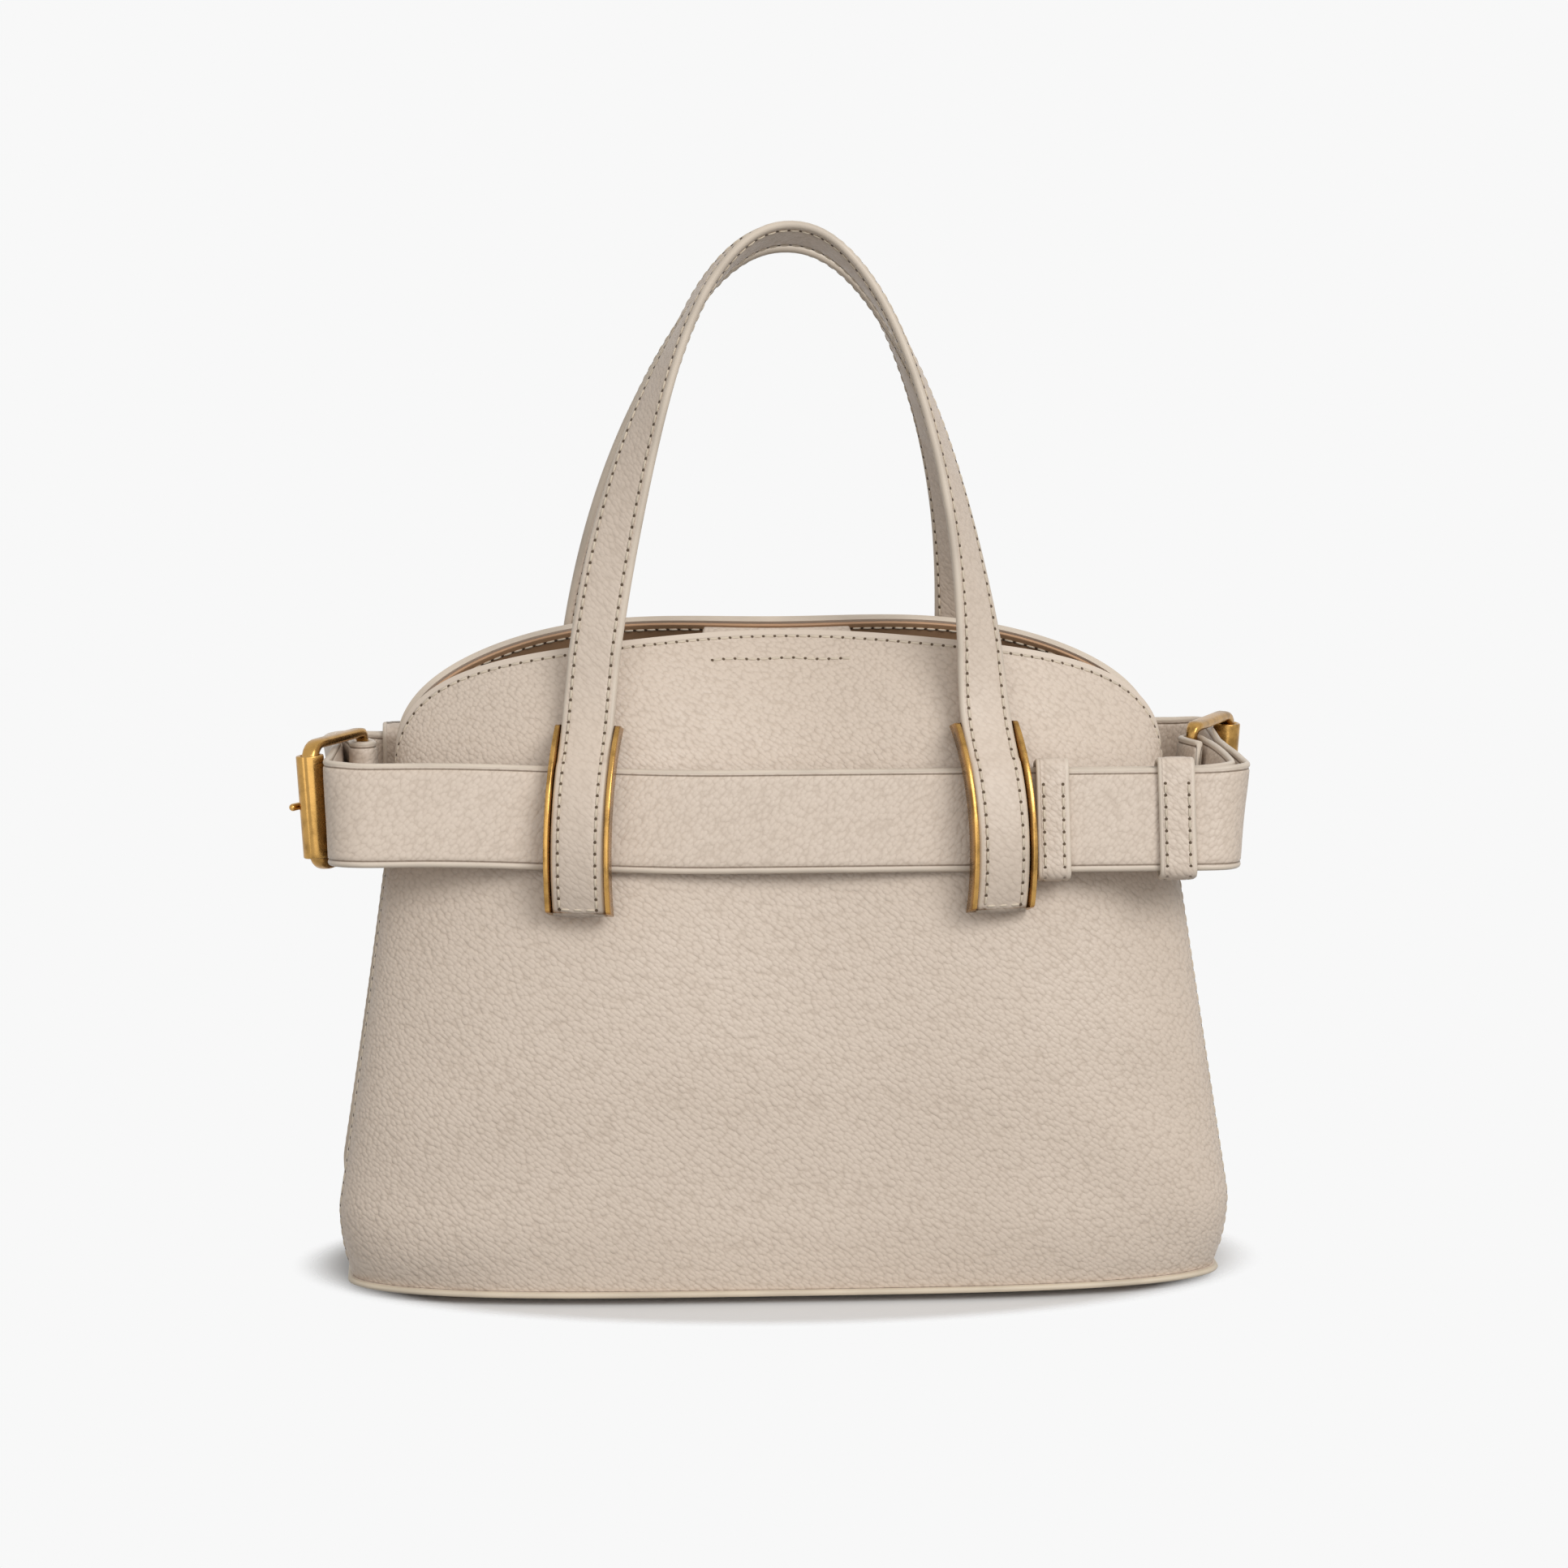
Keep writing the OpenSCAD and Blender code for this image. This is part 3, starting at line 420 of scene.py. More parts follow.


# Each stitch is a short thread: its half width falls off along it as the square root of
# 1 - (2a)^4, and its middle line sinks into the leather towards both ends. A small dark disc
# lies between it and the next, where the needle went in: a painted shade of the hole
def stitchMesh(name, path, normals, turn=keep):
    work = stitchWork
    path, normals = resample(path, work["pitch"], normals)
    middles = (path[:-1] + path[1:]) / 2
    along = unit(np.diff(path, axis=0))
    up = unit(normals[:-1] + normals[1:])
    up = unit(up - along * np.sum(up * along, -1, keepdims=True))
    side = np.cross(along, up)
    around = work["around"]
    a = np.array(work["stations"])
    angle = angles(around)
    swell = (1 - (2 * a) ** 4) ** 0.5
    lift = work["height"] * work["rise"] - work["sink"] * (2 * a) ** 2
    ringUp = lift[:, None] + np.outer(swell, np.sin(angle)) * work["height"] / 2
    ringSide = np.outer(swell, np.cos(angle)) * work["width"] / 2
    ringAlong = np.repeat(a[:, None], around, 1) * work["length"]
    local = np.stack([ringAlong, ringSide, ringUp], -1).reshape(-1, 3)
    ends = np.array([[-work["length"] / 2, 0, -work["sink"]], [work["length"] / 2, 0, -work["sink"]]])
    hole = np.stack([work["holeRadius"] * np.cos(angle) - work["pitch"] / 2,
        work["holeRadius"] * np.sin(angle), np.full(around, work["holeLift"])], -1)
    local = np.vstack([local, ends, hole])
    count = len(middles)
    points = (middles[:, None] + along[:, None] * local[None, :, :1] + side[:, None] * local[None, :, 1:2]
        + up[:, None] * local[None, :, 2:3])
    one = gridFaces(len(a), around, False, True).tolist()
    j = np.arange(around)
    tipA, tipB = len(a) * around, len(a) * around + 1
    one += np.stack([np.full(around, tipA), (j + 1) % around, j], -1).tolist()
    one += (np.stack([np.full(around, tipB), j, (j + 1) % around], -1)
        + np.array([0, 1, 1]) * (len(a) - 1) * around).tolist()
    one = facingOut(local, one)
    disc = list(range(tipB + 1, tipB + 1 + around))
    size = len(local)
    faces = [[v + k * size for v in f] for k in range(count) for f in one + [disc]]
    slots = ([0] * len(one) + [1]) * count
    return makeObject(name, turn(points.reshape(-1, 3)), faces, [thread, needleHoleShade], slots)


# Body

bodyShape = {
    "bodyW": 288.0, "waistW": 250.0, "bodyH": 212.0, "shoulderH": 166.0, "bulgeH": 29.0,
    "baseD": 132.0, "cornerR": 30.0, "baseTuck": 4.0, "mouthD": 44.0, "pinchD": 16.0,
    "leatherT": 2.2, "gussetT": 1.6, "gussetTop": 158.0, "gussetFold": 22.0, "gussetLap": 2.0,
    "baseZ": 4.7, "domePower": 2.65, "cornerPower": 3.6, "flarePower": 1.15, "lowLean": 0.62,
    "edgeGap": 0.9, "foldStart": 0.28,
}
b = bodyShape


# The foot of the body draws in by the square of how far a height is below the bulge
def tuck(z):
    low = np.clip((b["bulgeH"] - z) / (b["bulgeH"] - b["baseZ"]), 0, 1)
    return b["baseTuck"] * low ** 2


# Half the width: the body's width at the bulge, less towards the waist by (1 - t)^1.15, with t
# the share of the way up to the shoulder
def halfWidth(z):
    t = np.clip((z - b["bulgeH"]) / (b["shoulderH"] - b["bulgeH"]), 0, 1)
    return mix(b["waistW"], b["bodyW"], (1 - t) ** b["flarePower"]) / 2 - tuck(z)


# Top edge: a dome over the shoulders, (1 - |s|^p)^(1/p) with s the share of the half width
def domeHeight(s):
    power = b["domePower"]
    return mix(b["shoulderH"], b["bodyH"], np.maximum(0, 1 - np.abs(s) ** power) ** (1 / power))


# Half the depth at the base: flat, less a corner that rounds off by sqrt(1 - |s|^3.6)
def baseDepth(s):
    roundness = np.sqrt(np.maximum(0, 1 - np.abs(s) ** b["cornerPower"]))
    return b["baseD"] / 2 - b["cornerR"] + b["cornerR"] * roundness


# Half the depth at the mouth: drawn in at the middle and the sides, open between, by sin^2
def mouthDepth(s):
    return mix(b["pinchD"], b["mouthD"], np.sin(math.pi * np.abs(s)) ** 2) / 2


# Share of the base's depth that is left at share v of the height: 1 - 0.62 v^2 - 0.38 v^6
def lean(v):
    return 1 - b["lowLean"] * v ** 2 - (1 - b["lowLean"]) * v ** 6


sag = {"beltZ": 154.0, "beltHalf": 20.0, "beltDent": 0.9, "bellyZ": 78.0, "bellyHalf": 26.0,
    "bellySwell": 1.1, "creaseDepth": 0.55, "creasePitch": 7.5, "creaseTurn": 9.0, "creaseFrom": 0.55,
    "creaseIn": 0.3, "creaseTo": 0.97, "creaseOut": 0.12, "creaseTop": 110.0, "creaseFade": 40.0,
    "firmBelow": 12.0}


# Softness of the front: it dents a little under the belt, swells below it, and creases lightly
# where it turns round the lower corners
def softness(s, z):
    dent = -sag["beltDent"] * np.exp(-((z - sag["beltZ"]) / sag["beltHalf"]) ** 2)
    belly = sag["bellySwell"] * np.exp(-((z - sag["bellyZ"]) / sag["bellyHalf"]) ** 2) * (1 - s ** 4)
    near = smooth((np.abs(s) - sag["creaseFrom"]) / sag["creaseIn"])
    near = near * smooth((sag["creaseTo"] - np.abs(s)) / sag["creaseOut"])
    wave = np.sin(z / sag["creasePitch"] + sag["creaseTurn"] * np.abs(s) + np.sign(s))
    crease = sag["creaseDepth"] * near * wave * smooth((sag["creaseTop"] - z) / sag["creaseFade"])
    return (dent + belly + crease) * smooth((z - b["baseZ"]) / sag["firmBelow"])


# Front: place at angle f across (its sine is the share of the half width) and share v of the
# height. The middle of the mouth is lifted by v^8 (1 - s^4), as the bag slumps a little
def frontPoint(f, v, lift=0.0):
    s = np.sin(f)
    z = mix(b["baseZ"], domeHeight(s), v)
    depth = mix(mouthDepth(s), baseDepth(s), lean(v)) - tuck(z) + softness(s, z)
    return np.stack([s * halfWidth(z), -depth, z + lift * v ** 8 * (1 - s ** 4)], -1)


mouthLift = {"front": -1.5, "back": 1.0}


# How the place changes with each of its two parameters, from small steps both ways
def surfaceFrame(place, f, v):
    h = 1e-4
    df = (place(f + h, v) - place(f - h, v)) / (2 * h)
    vLow = np.minimum(v, 1 - h)
    dv = (place(f, vLow + h) - place(f, vLow - h)) / (2 * h)
    return df, dv


# Offset of the edge along the surface: step inwards from the edge, then slide to the nearest
# place on the surface by Newton's method on its two parameters
def insetEdge(place, f, v, distance):
    edge = place(f, v)
    fIn, vIn = f * 0.995, v * 0.997
    df, dv = surfaceFrame(place, fIn, vIn)
    normal = unit(np.cross(df, dv))
    inward = unit(np.cross(normal, tangents(edge)))
    centre = place(np.zeros(1), np.array([0.5]))[0]
    flip = np.sign(np.sum(inward * (centre - edge), -1, keepdims=True))
    goal = edge + inward * flip * distance
    for _ in range(12):
        df, dv = surfaceFrame(place, fIn, vIn)
        miss = goal - place(fIn, vIn)
        a11, a12, a22 = (df * df).sum(-1), (df * dv).sum(-1), (dv * dv).sum(-1)
        r1, r2 = (df * miss).sum(-1), (dv * miss).sum(-1)
        det = a11 * a22 - a12 ** 2 + 1e-9
        fIn = np.clip(fIn + np.clip((a22 * r1 - a12 * r2) / det, -0.05, 0.05), -1.56, 1.56)
        vIn = np.clip(vIn + np.clip((a11 * r2 - a12 * r1) / det, -0.05, 0.05), 0, 0.9995)
    df, dv = surfaceFrame(place, fIn, vIn)
    return place(fIn, vIn), unit(np.cross(df, dv))


# The edge of a panel, from the base up one side, over the dome and down the other
def panelEdge(fromHeight):
    up = np.linspace(fromHeight, 1, panelSet["sideSteps"])
    across = np.linspace(-math.pi / 2, math.pi / 2, panelSet["domeSteps"])[1:-1]
    side = np.full(len(up), math.pi / 2)
    return np.concatenate([-side, across, side]), np.concatenate([up, np.ones(len(across)), up[::-1]])


panelSet = {"columns": 180, "rows": 120, "sideSteps": 90, "domeSteps": 400, "stitchInset": 2.7,
    "stitchFrom": 0.04, "edgeRound": 0.75}


# Panel: the front on a grid, closer together towards the base and the mouth. Each point keeps
# its distance to the nearest point of the edge, for the leather's smooth band
def makePanel(name, turn):
    place = lambda f, v: frontPoint(f, v, mouthLift[name])
    f, v = np.meshgrid(np.linspace(-math.pi / 2, math.pi / 2, panelSet["columns"] + 1),
        (1 - np.cos(np.linspace(0, math.pi, panelSet["rows"] + 1))) / 2)
    grid = place(f, v)
    rim = place(*panelEdge(0.0))
    edge = np.concatenate([np.sqrt(((row[:, None] - rim[None]) ** 2).sum(-1)).min(1) for row in grid])
    obj = leatherSheet(name + "_leather", turn(grid), [panelLeather, edgePaint], b["leatherT"],
        panelSet["edgeRound"], edge)
    goesWith(obj, rootBody, name + "_panel", slot="grained_leather")
    f, v = panelEdge(panelSet["stitchFrom"])
    path, normals = insetEdge(place, f, v, panelSet["stitchInset"])
    goesWith(stitchMesh(name + "_edge_stitches", path, normals, turn=turn), rootBody)


for name, turn in halves:
    makePanel(name, turn)
print("panels made")


# Facings and magnet tabs lie inside the panels: the front moved inwards along its normals

facingSet = {"height": 22.0, "topShare": 0.9985, "reach": 67.5, "inset": 2.7, "thickness": 1.0,
    "edgeRound": 0.3, "stitchDeep": 3.74, "stitchIn": (0.012, 0.01)}
tabSet = {"height": 26.0, "topShare": 0.998, "half": 23.0, "atZ": 200.0, "inset": 4.0, "thickness": 3.4,
    "edgeRound": 0.8, "seamZ": 203.2, "seamIn": 0.4, "seamWander": 0.22, "seamPitch": 3.1, "seamStart": 0.8}


# Share v of a sheet runs down from the mouth by its height
def innerSheet(name, place, f, t, material, slot, turn):
    v = np.linspace(1 - t["height"] / (b["bodyH"] - b["baseZ"]), t["topShare"], 25)
    f, v = np.meshgrid(f, v)
    grid = place(f, v) - unit(np.cross(*surfaceFrame(place, f, v))) * t["inset"]
    obj = leatherSheet(name + "_sheet", turn(grid), [material, material], t["thickness"], t["edgeRound"])
    goesWith(obj, rootBody, name, slot=slot)


def makeInside(name, turn):
    t, m = facingSet, tabSet
    place = lambda f, v: frontPoint(f, v, mouthLift[name])
    reach = math.radians(t["reach"])
    side = math.asin(m["half"] / halfWidth(m["atZ"]))
    along, tabAlong = np.linspace(-reach, reach, 161), np.linspace(-side, side, 41)
    innerSheet(name + "_facing", place, along, t, tanLeather, "smooth_leather", turn)
    innerSheet(name + "_magnet_tab", place, tabAlong, m, bodyLeather, "grained_leather", turn)
    for part, sign in (("left", -1), ("right", 1)):
        f = sign * np.linspace(side + t["stitchIn"][0], reach - t["stitchIn"][1], 200)
        path, normals = insetEdge(place, f, np.ones(200), panelSet["stitchInset"])
        path = path - normals * t["stitchDeep"]
        goesWith(stitchMesh("%s_facing_stitches_%s" % (name, part), path, -normals, turn=turn), rootBody)
    x = np.linspace(m["seamIn"] - m["half"], m["half"] - m["seamIn"], 60)
    z = m["seamZ"] + m["seamWander"] * np.sin(x / m["seamPitch"] + m["seamStart"])  # a little crooked
    s = x / halfWidth(z)
    v = (z - b["baseZ"]) / (domeHeight(s) - b["baseZ"])
    path = place(np.arcsin(s), v)
    normals = unit(np.cross(*surfaceFrame(place, np.arcsin(s), v)))
    goesWith(stitchMesh(name + "_tab_stitches", path, normals, turn=turn), rootBody)


for name, turn in halves:
    makeInside(name, turn)
print("facings and tabs made")


# Gussets: their middle folds inwards, by cos^2 across and by a smooth step from low down to the
# top, and ripples a little

def edgeDepth(z):
    v = (z - b["baseZ"]) / (b["shoulderH"] - b["baseZ"])
    return mix(mouthDepth(1.0), baseDepth(1.0), lean(v)) - tuck(z)


def foldIn(z):
    start = b["foldStart"] * b["gussetTop"]
    return b["gussetFold"] * smooth((z - start) / (b["gussetTop"] - start))


def gussetFace(z):
    return halfWidth(z) - b["leatherT"] - b["edgeGap"]


gussetSet = {"columns": 60, "rows": 90, "ripple": 0.5, "ripplePitch": 11.0, "rippleTurn": 2.2,
    "rippleFrom": 20.0, "rippleOver": 40.0, "edgeRound": 0.5}


def makeGusset(name, turn):
    t = gussetSet
    w, z = np.meshgrid(np.linspace(1, -1, t["columns"] + 1),
        np.linspace(b["baseZ"], b["gussetTop"], t["rows"] + 1))
    ripple = t["ripple"] * (1 - w ** 2) ** 2 * np.sin(z / t["ripplePitch"] + t["rippleTurn"] * w)
    ripple = ripple * smooth((z - t["rippleFrom"]) / t["rippleOver"])
    x = foldIn(z) * np.cos(math.pi / 2 * w) ** 2 - gussetFace(z) + ripple
    grid = turn(np.stack([x, w * (edgeDepth(z) + b["gussetLap"]), z], -1))
    obj = leatherSheet(name + "_gusset_leather", grid, [bodyLeather, edgePaint], b["gussetT"],
        t["edgeRound"])
    goesWith(obj, rootBody, name + "_gusset", slot="grained_leather")


for name, turn in sides:
    makeGusset(name, turn)
print("gussets made")


# Lining: an open bag. Each ring has x = c * half width and y = reach * sqrt(1 - c^4), with c the
# cosine of the angle round it. Above the gussets it nears the panels and laps inside the facings

liningSet = {"floor": 6.9, "top": 191.0, "edgeRoom": 0.9, "room": 5.0, "topRoom": 3.8, "closeFrom": 168.0,
    "around": 144, "rows": 48, "thickness": 0.8, "edgeRound": 0.2}


def makeLining():
    t = liningSet
    a = angles(t["around"])
    c = np.cos(a)
    rings = []
    floorRings = [(share, t["floor"]) for share in (0.06, 0.5, 0.9)]
    for share, z in floorRings + [(1.0, z) for z in np.linspace(t["floor"], t["top"], t["rows"])]:
        half = gussetFace(z) - b["gussetT"] - foldIn(z) - t["edgeRoom"]
        level = max(z, b["baseZ"])
        s = c * half / halfWidth(level)
        v = (level - b["baseZ"]) / (domeHeight(s) - b["baseZ"])
        room = mix(t["room"], t["topRoom"], smooth((z - t["closeFrom"]) / (t["top"] - t["closeFrom"])))
        reach = -frontPoint(np.arcsin(s), np.minimum(v, 1))[:, 1] - room
        ring = np.column_stack([c * half, np.sign(np.sin(a)) * reach * np.sqrt(np.maximum(0, 1 - c ** 4)),
            np.full(len(a), z)])
        rings.append(ring * [share, share, 1])
    rings = np.array(rings)
    points = rings.reshape(-1, 3)
    faces = gridFaces(len(rings), len(a), False, True).tolist() + [list(range(len(a)))[::-1]]
    obj = makeObject("lining_cloth", points, faces, [liningCloth, liningCloth])
    thicken(obj, t["thickness"], t["edgeRound"])
    goesWith(obj, rootBody, "lining", slot="lining_cloth")


makeLining()
print("lining made")


# Base: the body's outline at the base, with a rounded edge that stands out past the body

baseSet = {"footH": 2.6, "thickness": 2.0, "lip": 1.6, "steps": 120, "shares": (0.02, 0.5, 0.9, 0.975)}


def baseOutline(grow):
    f = np.linspace(-math.pi / 2, math.pi / 2, baseSet["steps"])
    s = np.sin(f)
    half = np.stack([s * (halfWidth(b["baseZ"]) + grow), tuck(b["baseZ"]) - baseDepth(s) - grow], -1)
    return np.vstack([half, -half])


def makeBase():
    low, half = baseSet["footH"], baseSet["thickness"] / 2
    inner = baseSet["lip"] - half
    count, shares = 2 * baseSet["steps"], baseSet["shares"]
    layer = lambda grow, share, z: np.column_stack([baseOutline(grow) * share, np.full(count, z)])
    layers = [layer(inner, share, low) for share in shares]
    layers += [layer(inner + half * math.cos(angle), 1.0, low + half + half * math.sin(angle))
        for angle in np.radians(np.linspace(-90, 90, 9))]
    layers += [layer(inner, share, low + 2 * half) for share in shares[::-1]]
    rings = np.array(layers)
    steps, around = rings.shape[:2]
    points = rings.reshape(-1, 3)
    slots = np.repeat([0] * 4 + [1] * 8 + [0] * 4, around).tolist() + [0, 0]  # the edge is painted
    ring = list(range(around))
    faces = gridFaces(steps, around, False, True).tolist()
    faces += [ring[::-1], [v + (steps - 1) * around for v in ring]]
    obj = makeObject("base_leather", points, facingOut(points, faces), [bodyLeather, baseEdge], slots)
    goesWith(obj, rootBody, "base_panel", slot="grained_leather")


makeBase()
print("base made")


def nodeMaterial(node, material):
    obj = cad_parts[node]
    obj.data.materials.clear()
    obj.data.materials.append(material)


for node in ("front_tray_screws", "back_tray_screws", "front_magnet", "back_magnet"):
    nodeMaterial(node, steel)
nodeMaterial("base_board", fibreBoard)


# Turned pieces: a profile of (radius, height) round an upright line
def turned(profile, around, centre=(0, 0, 0)):
    angle = angles(around)
    r, z = profile[:, :1], np.repeat(profile[:, 1:], around, 1)
    return np.stack([r * np.cos(angle), r * np.sin(angle), z], -1) + np.asarray(centre)


footSet = {"radius": 5.0, "height": 2.6, "domeH": 0.9, "tip": 0.15, "x": 105.0, "y": 42.0, "shank": 1.4,
    "shankL": 4.0, "around": 32, "rimIn": 0.35, "rimFrom": 1.0, "rimAt": 1.5, "topRound": (0.3, 0.25)}


def makeFeet():
    points, faces = [], []
    f, around = footSet, footSet["around"]
    bend = np.radians(np.linspace(0, 90, 7))
    dome = np.column_stack([f["tip"] + (f["radius"] - f["domeH"]) * np.sin(bend),
        f["domeH"] * (1 - np.cos(bend))])
    r, h, roundX, roundZ = f["radius"], f["height"], *f["topRound"]
    rim = np.array([[r - f["rimIn"], f["rimFrom"]], [r, f["rimAt"]], [r, h - roundZ], [r - roundX, h],
        [f["shank"], h], [f["shank"], h + f["shankL"]]])
    profile = np.vstack([dome, rim])
    lastRing = (len(profile) - 1) * around
    for x in (-f["x"], f["x"]):
        for y in (-f["y"], f["y"]):
            start = sum(len(p) for p in points)
            points.append(turned(profile, around, (x, y, 0)).reshape(-1, 3))
            ring = list(range(start, start + around))
            faces += gridFaces(len(profile), around, False, True, start).tolist()
            faces += [ring[::-1], [v + lastRing for v in ring]]
    points = np.vstack(points)
    feet = makeObject("feet", points, facingOut(points, faces), [brass])
    goesWith(feet, rootBody, "base_feet", slot="antique_brass")


makeFeet()
print("feet made")


# Straps: a section across (u) and through (w) the strap, with bulging faces, a shallow valley
# under each stitch row and half round painted edges. It starts in the middle of one edge

def strapSection(width, thickness, puff, valley=0.18, valleyAt=2.5, edge=0.82, across=18, roundSteps=6,
        lines=()):
    r = thickness / 2 * edge
    reach = width / 2 - r
    u = reach * np.sin(np.linspace(math.pi / 2, -math.pi / 2, across + 1))
    valleyHalf, nearest = 0.42, 0.3
    shoulders = np.array([-0.8, -0.35, 0, 0.35, 0.8])
    fixed = np.concatenate([lines, valleyAt - width / 2 + shoulders, width / 2 - valleyAt + shoulders])
    far = np.abs(u[:, None] - fixed[None]).min(1) > nearest
    u = np.sort(np.concatenate([u[far], fixed]))[::-1]
    across = len(u) - 1
    w = r + (thickness / 2 - r + puff) * (1 - np.abs(u / reach) ** 3)
    w = w - valley * np.exp(-((np.abs(u) - width / 2 + valleyAt) / valleyHalf) ** 2)
    bend = np.radians(np.linspace(0, 90, roundSteps + 1))
    right = np.column_stack([reach + r * np.cos(bend[:-1]), r * np.sin(bend[:-1])])
    leftUp = np.column_stack([-reach - r * np.sin(bend[1:]), r * np.cos(bend[1:])])
    top = np.column_stack([u, w])
    upper = np.vstack([right, top, leftUp])
    lower = (upper * [1, -1])[1:-1][::-1]
    section = np.vstack([upper, lower])
    face = np.zeros(len(section), dtype=int)
    face[:roundSteps] = 1
    face[roundSteps + across:-(roundSteps + across)] = 1
    face[-roundSteps:] = 1
    return section, face, alongPath(section)


# Strap along a path: out is the way its outer face looks at each point of the path
def strap(name, path, out, section, materials, closedPath=False, shape=None, cuts=()):
    profile, face, around = section
    tangent = tangents(path)
    if closedPath:
        tangent = unit(np.roll(path, -1, 0) - np.roll(path, 1, 0))
    out = unit(out - tangent * np.sum(out * tangent, -1, keepdims=True))
    side = np.cross(tangent, out)
    scale = np.ones((len(path), 2)) if shape is None else shape
    rings = (path[:, None] + side[:, None] * (profile[None, :, :1] * scale[:, None, :1])
        + out[:, None] * (profile[None, :, 1:] * scale[:, None, 1:]))
    uv = np.stack(np.broadcast_arrays(around[None, :], alongPath(path)[:, None]), -1)
    edge = profile[:, 0].max() - np.abs(profile[:, 0])
    return tube(name, rings, materials, closedPath, face, uv, cuts, edge), side, out


# Trays and strap ends lie on one bow; a place on it is an angle and a radius

traySet = {
    "x": 64.0, "y": -47.9438, "z": 154.3, "yaw": 13.0, "lean": 17.0007, "radius": 46.5831,
    "halfLength": 30.064, "bowDepth": 11.0, "width": 21.0, "sheet": 1.2, "side": 1.6, "wall": 5.7,
    "edgeRound": 0.45, "tipFrom": 0.985, "tipDrop": 0.7, "steps": 81, "postRadius": 2.7, "postAround": 20,
    "screwZ": 25.2535, "heelRound": 0.3, "innerRound": 0.25, "postMiddle": 0.05, "postOut": 0.02,
    "postTo": 0.4,
}
strapSet = {"width": 17.0, "thickness": 3.2, "strapRadius": 49.6831, "stitchIn": 2.5, "puff": 0.22,
    "rowSink": 0.05, "endLift": 0.12}


def rotX(points, degrees):
    c, s = cosSin(degrees)
    return points @ np.array([[1, 0, 0], [0, c, s], [0, -s, c]])


def rotZ(points, degrees):
    c, s = cosSin(degrees)
    return points @ np.array([[c, s, 0], [-s, c, 0], [0, 0, 1]])


def atTray(points, side, direction=False):
    placed = rotZ(rotX(points, -traySet["lean"]), side * traySet["yaw"])
    return placed if direction else placed + [side * traySet["x"], traySet["y"], traySet["z"]]


# On the bow: x across, radius r outwards, angle a up from its middle
def onBow(x, r, a):
    drop = traySet["radius"] - traySet["bowDepth"]
    return np.stack(np.broadcast_arrays(x, -(r * np.cos(a) - drop), r * np.sin(a)), -1)


# Tray: the channel's section is carried along the bow, each radius to the same height, so that
# the ends are square to the tray's length, and the walls' tips are rounded over
def makeTray(name, side, turn):
    t = traySet
    half, sheet, wide, soft = t["width"] / 2, t["sheet"], t["side"], t["edgeRound"]
    bend = np.radians(np.linspace(0, 90, 4))
    tip = t["wall"] - soft
    outer = np.column_stack([half - soft + soft * np.cos(bend), tip + soft * np.sin(bend)])
    inner = np.column_stack([half - wide + soft - soft * np.sin(bend), tip + soft * np.cos(bend)])
    heel, fillet = t["heelRound"], t["innerRound"]
    right = np.vstack([[[half - heel, 0], [half, heel]], outer, inner,
        [[half - wide, sheet + fillet], [half - wide - fillet, sheet]]])
    section = np.vstack([right, right[::-1] * [-1, 1]])
    share = np.sin(np.linspace(-math.pi / 2, math.pi / 2, t["steps"]))
    nearTip = np.maximum(0, np.abs(share[:, None]) - t["tipFrom"]) / (1 - t["tipFrom"])
    onWall = section[None, :, 1] > t["wall"] / 2
    radius = t["radius"] + section[None, :, 1] - t["tipDrop"] * nearTip * onWall
    angle = share[:, None] * np.arcsin(t["halfLength"] / radius)
    rings = onBow(np.broadcast_to(section[None, :, 0], radius.shape), radius, angle)
    around = len(section)
    points = [rings.reshape(-1, 3)]
    grid = gridFaces(len(share), around, False, True).tolist()
    capFaces = []
    for end in (0, (len(share) - 1) * around):
        last = end + around - 1
        pairs = [[end + k, end + k + 1, last - k - 1, last - k] for k in range(around // 2 - 1)]
        capFaces += pairs if end else [p[::-1] for p in pairs]
    faces = facingOut(points[0], grid + capFaces)
    reach = t["radius"] - t["bowDepth"]
    post, middle, out = t["postRadius"], t["postMiddle"], -t["postOut"]
    for z in (-t["screwZ"], t["screwZ"]):
        top = math.sqrt(t["radius"] ** 2 - z ** 2) - reach + sheet * t["postTo"]
        profile = np.array([[middle, out], [post - heel, out], [post, fillet], [post, top], [middle, top]])
        upright = turned(profile, t["postAround"]).reshape(-1, 3)
        across = np.stack([upright[:, 0], -upright[:, 2], upright[:, 1] + z], -1)
        own = facingOut(across, gridFaces(len(profile), t["postAround"], False, True).tolist())
        start = sum(len(p) for p in points)
        faces += [[v + start for v in f] for f in own]
        points.append(across)
    channel = makeObject(name, turn(atTray(np.vstack(points), side)), faces, [brass])
    goesWith(channel, rootBody, name.replace("_channel", ""), slot="antique_brass")


for name, side, turn in (("front_left", -1, keep), ("front_right", 1, keep), ("back_left", 1, halfTurn),
        ("back_right", -1, halfTurn)):
    makeTray(name + "_tray_channel", side, turn)
print("trays made")


# Handles: one strap runs up each tray, turns edge-on as it rises and comes down the other tray.
# Arch: with c from -1 to 1 across, the height share is (1 - |c|^(1/0.47))^(1/1.32), and the
# strap turns from 13 to 104 degrees away from the front. The soft arch leans a little to the
# right, its right leg bows outwards, and its left leg turns later than its right one

